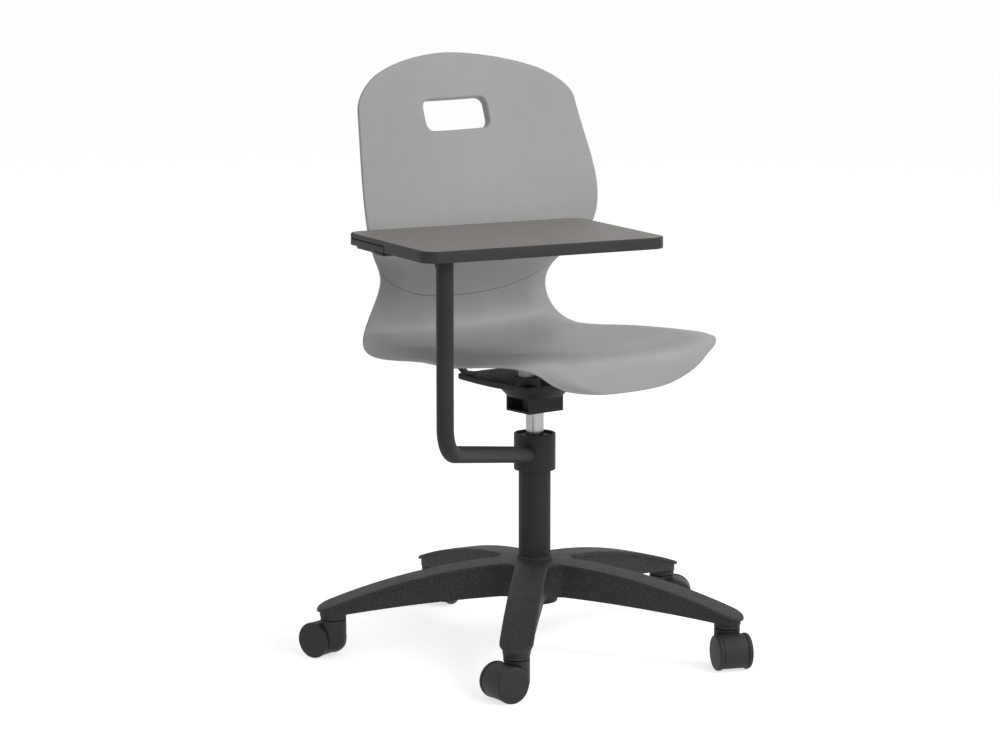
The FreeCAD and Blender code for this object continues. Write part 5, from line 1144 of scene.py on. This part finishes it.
@dataclass
class Castor:
    """One castor, in millimetres, with its wheels behind the stem along its own +X."""

    number: int
    heading: float
    trail: float = 21.7
    axle: float = 27.8
    hood_radius: float = 27.2
    hood_bore: float = 23.8
    hood_half: float = 19.5
    hood_floor: float = 4.6
    clear: float = 28.6
    housing: float = 20.0
    housing_top: float = 60.1
    housing_rear: float = -1.2
    web_bite: float = 0.4
    web_half: float = 2.0
    tread: Corners = (
        (3.1, 21.6), (3.1, 2.5), (9, 2.5), (9, 9), (22.6, 9), (22.6, 19.8), (27.8, 19.8, 1.0),
        (27.8, 27, 3.5), (0, 27))
    stem: Corners = ((0, 36), (8.3, 36, 1.0), (8.3, 52), (0, 52))

    def place(self) -> Place:
        """Gives the stem's place and the castor's heading."""
        return Place.out(STEM_CIRCLE, LEGS[self.number - 1], self.heading)

    def on_axle(self, spin: Array, sign: float = 1.0, foot: float = 0.0) -> Array:
        """Lays a spun profile along the axle, cut flat at a height above the floor."""
        x, z, y = np.moveaxis(spin, -1, 0)
        return joined(self.trail + x, sign * y, np.maximum(self.axle + z, foot))

    def wheel(self, side: str, sign: float) -> None:
        """Builds one wheel: a profile of (radius, distance from the middle) on the axle."""
        form = Form(f"wheel_{side}_{self.number}", self.place())
        form.grid(self.on_axle(spun(profile(self.tread, 6), full_turn(64)), sign), ring=True)
        form.build(f"wheel_{side}_{self.number}", Skin.NYLON_SMOOTH,
                   (f"caster_wheel_{side}_{self.number}",), sharp=40.0)

    def cover(self, form: Form) -> None:
        """Adds the cover over the treads and the web between the wheels."""
        outer, bore, half, foot = self.hood_radius, self.hood_bore, self.hood_half, self.hood_floor
        start = -math.asin((self.axle - foot) / bore)
        angle = np.linspace(start, math.pi - start, 80)
        corners = [(bore, 0.0), (bore, half), (outer, half), (outer, -half), (bore, -half),
                   (bore, 0.0)]
        section = bent_line(np.array(corners), np.array([0, .3, 1.4, 1.4, .3, 0]), 5)
        points = self.on_axle(spun(section, angle), 1.0, foot).transpose(1, 0, 2)
        middle = points.mean(axis=1, keepdims=True)
        ends = [middle[place] + 0.0 * points[:1] for place in (slice(1), slice(-1, None))]
        form.grid(np.concatenate([ends[0], points, ends[1]]))
        reach, thick = bore + self.web_bite, self.web_half
        web = np.array([(0.0, -thick), (reach, -thick), (reach, thick), (0.0, thick)])
        form.grid(self.on_axle(spun(web, angle), 1.0, foot), ring=True)

    def stem_housing(self, form: Form) -> None:
        """Adds the housing round the stem, flat between the wheels and hollowed for them."""
        side, top = self.housing, self.housing_top
        line = profile(((0, 10), (side, 10, 17.0), (side, top, 0.8), (0, top)), 10)
        x, y, z = np.moveaxis(spun(line, full_turn(56)), -1, 0)
        limit = np.where(z > self.axle + self.clear, side, self.hood_half)
        y = np.clip(y, -limit, limit)
        reach = np.clip(self.hood_bore ** 2 - (z - self.axle) ** 2, 0.0, None)
        room = np.maximum(self.trail - np.sqrt(reach), self.housing_rear)
        inside = (z < self.axle + self.hood_bore) & (x > 0)
        form.grid(joined(np.where(inside, np.minimum(x, room), x), y, z), ring=True)
        turned(form, self.stem, 32)

    def hood(self) -> None:
        """Builds the hood: its cover, its web and the stem housing."""
        form = Form(f"hood_{self.number}", self.place())
        self.cover(form)
        self.stem_housing(form)
        form.build(f"castor_{self.number}", Skin.NYLON_SMOOTH, (f"caster_hood_{self.number}",),
                   sharp=40.0)

    def build(self) -> None:
        """Builds the hood and both wheels."""
        self.hood()
        self.wheel("left", 1.0)
        self.wheel("right", -1.0)


def dress(nodes: tuple[str, ...], skin: Skin) -> None:
    """Gives CAD nodes a finish."""
    for name in nodes:
        piece = frame["nodes"][name]
        piece.data.materials.clear()
        piece.data.materials.append(skin.material())


def dress_frame() -> None:
    """Gives every CAD node the finish that its slot in the record names."""
    skins = {skin.value.slot: skin for skin in Skin}
    for part in frame["record"]["subparts"]:
        dress((part["node"],), skins[part["material_slot"]])
    dress(("taper_bush", "shell_screws", "tablet_screws"), Skin.STEEL)


@dataclass(frozen=True)
class Studio:
    """The floor, the light and the camera, in metres.

    Each lamp is its name, heading, pitch, distance, size and power.
    """

    floor: float = 60.0
    aim: Triple = (-0.0420, 0.0339, 0.4273)
    heading: float = 38.9
    pitch: float = 9.53
    distance: float = 5.116
    lens: float = 118.8
    floor_glow: float = 0.68
    sky: float = 0.34
    lamps: tuple[tuple[str, float, float, float, float, float], ...] = (
        ("key", -35.0, 45.0, 3.2, 1.8, 34.0), ("fill", 0.0, 20.0, 3.2, 1.8, 21.0),
        ("front", 50.0, 6.0, 3.6, 1.8, 7.0))

    def aimed(self, name: str, data: bpy.types.ID, heading: float, pitch: float,
              distance: float) -> bpy.types.Object:
        """Adds an object that looks at the aim.

        Args:
            name: its name.
            data: its lamp or camera.
            heading: how far it stands left of the front, in degrees.
            pitch: its height angle, in degrees.
            distance: how far from the aim it is.

        Returns:
            The object.
        """
        h, p = math.radians(heading), math.radians(pitch)
        piece = added(name, data)
        piece.location = (self.aim[0] - distance * math.cos(p) * math.sin(h),
                          self.aim[1] - distance * math.cos(p) * math.cos(h),
                          self.aim[2] + distance * math.sin(p))
        piece.rotation_euler = (math.radians(90.0 - pitch), 0.0, -h)
        return piece

    def lamp(self, name: str, heading: float, pitch: float, distance: float, size: float,
             power: float) -> None:
        """Adds a square soft lamp that looks at the aim."""
        data = bpy.data.lights.new(name, "AREA")
        data.shape = "SQUARE"
        data.size = size
        data.energy = power
        self.aimed(name, data, heading, pitch, distance)

    def lay_floor(self) -> None:
        """Lays the pale floor, which looks white to the eye and keeps the object's shadow."""
        half = self.floor / 2.0
        mesh = bpy.data.meshes.new("floor")
        mesh.from_pydata([(-half, -half, 0), (half, -half, 0), (half, half, 0), (-half, half, 0)],
                         [], [(0, 1, 2, 3)])
        floor = added("floor", mesh)
        bench = Bench(bpy.data.materials.new("floor_look"))
        mesh.materials.append(bench.close(
            {"Base Color": (0.9, 0.9, 0.9, 1.0), "Roughness": 0.9, "Specular IOR Level": 0.0,
             "Emission Strength": self.floor_glow, "Emission Color": bench.seen()}))

    def light(self) -> None:
        """Sets the sky, which is white to the eye and dimmer as a light, and three soft lamps."""
        world = bpy.data.worlds.new("studio")
        bench = Bench(world)
        white = (1.0, 1.0, 1.0, 1.0)
        light, backdrop = (
            bench.node("ShaderNodeBackground", {"Color": white, "Strength": strength})
            for strength in (self.sky, 1.0))
        mixed = bench.node("ShaderNodeMixShader", {0: bench.seen(), 1: light.outputs[0],
                                                   2: backdrop.outputs[0]})
        bench.node("ShaderNodeOutputWorld", {"Surface": mixed.outputs[0]})
        bpy.context.scene.world = world
        for lamp in self.lamps:
            self.lamp(*lamp)

    def build(self) -> None:
        """Lays the floor, lights it and sets the camera."""
        scene = bpy.context.scene
        self.lay_floor()
        self.light()
        data = bpy.data.cameras.new("camera")
        data.lens = self.lens
        data.sensor_width = 36.0
        data.clip_end = 200.0
        scene.camera = self.aimed("camera", data, self.heading, self.pitch, self.distance)
        scene.view_settings.view_transform = "Standard"


def main() -> None:
    """Builds the chair's looks in order."""
    logging.basicConfig(level=logging.INFO)
    dress_frame()
    SeatShell().build()
    Star().build()
    Lift().build()
    SeatBracket().build()
    WritingArm().build()
    for number, heading in enumerate(HEADINGS, start=1):
        Castor(number, heading).build()
    Studio().build()


if __name__ == "__main__":
    main()
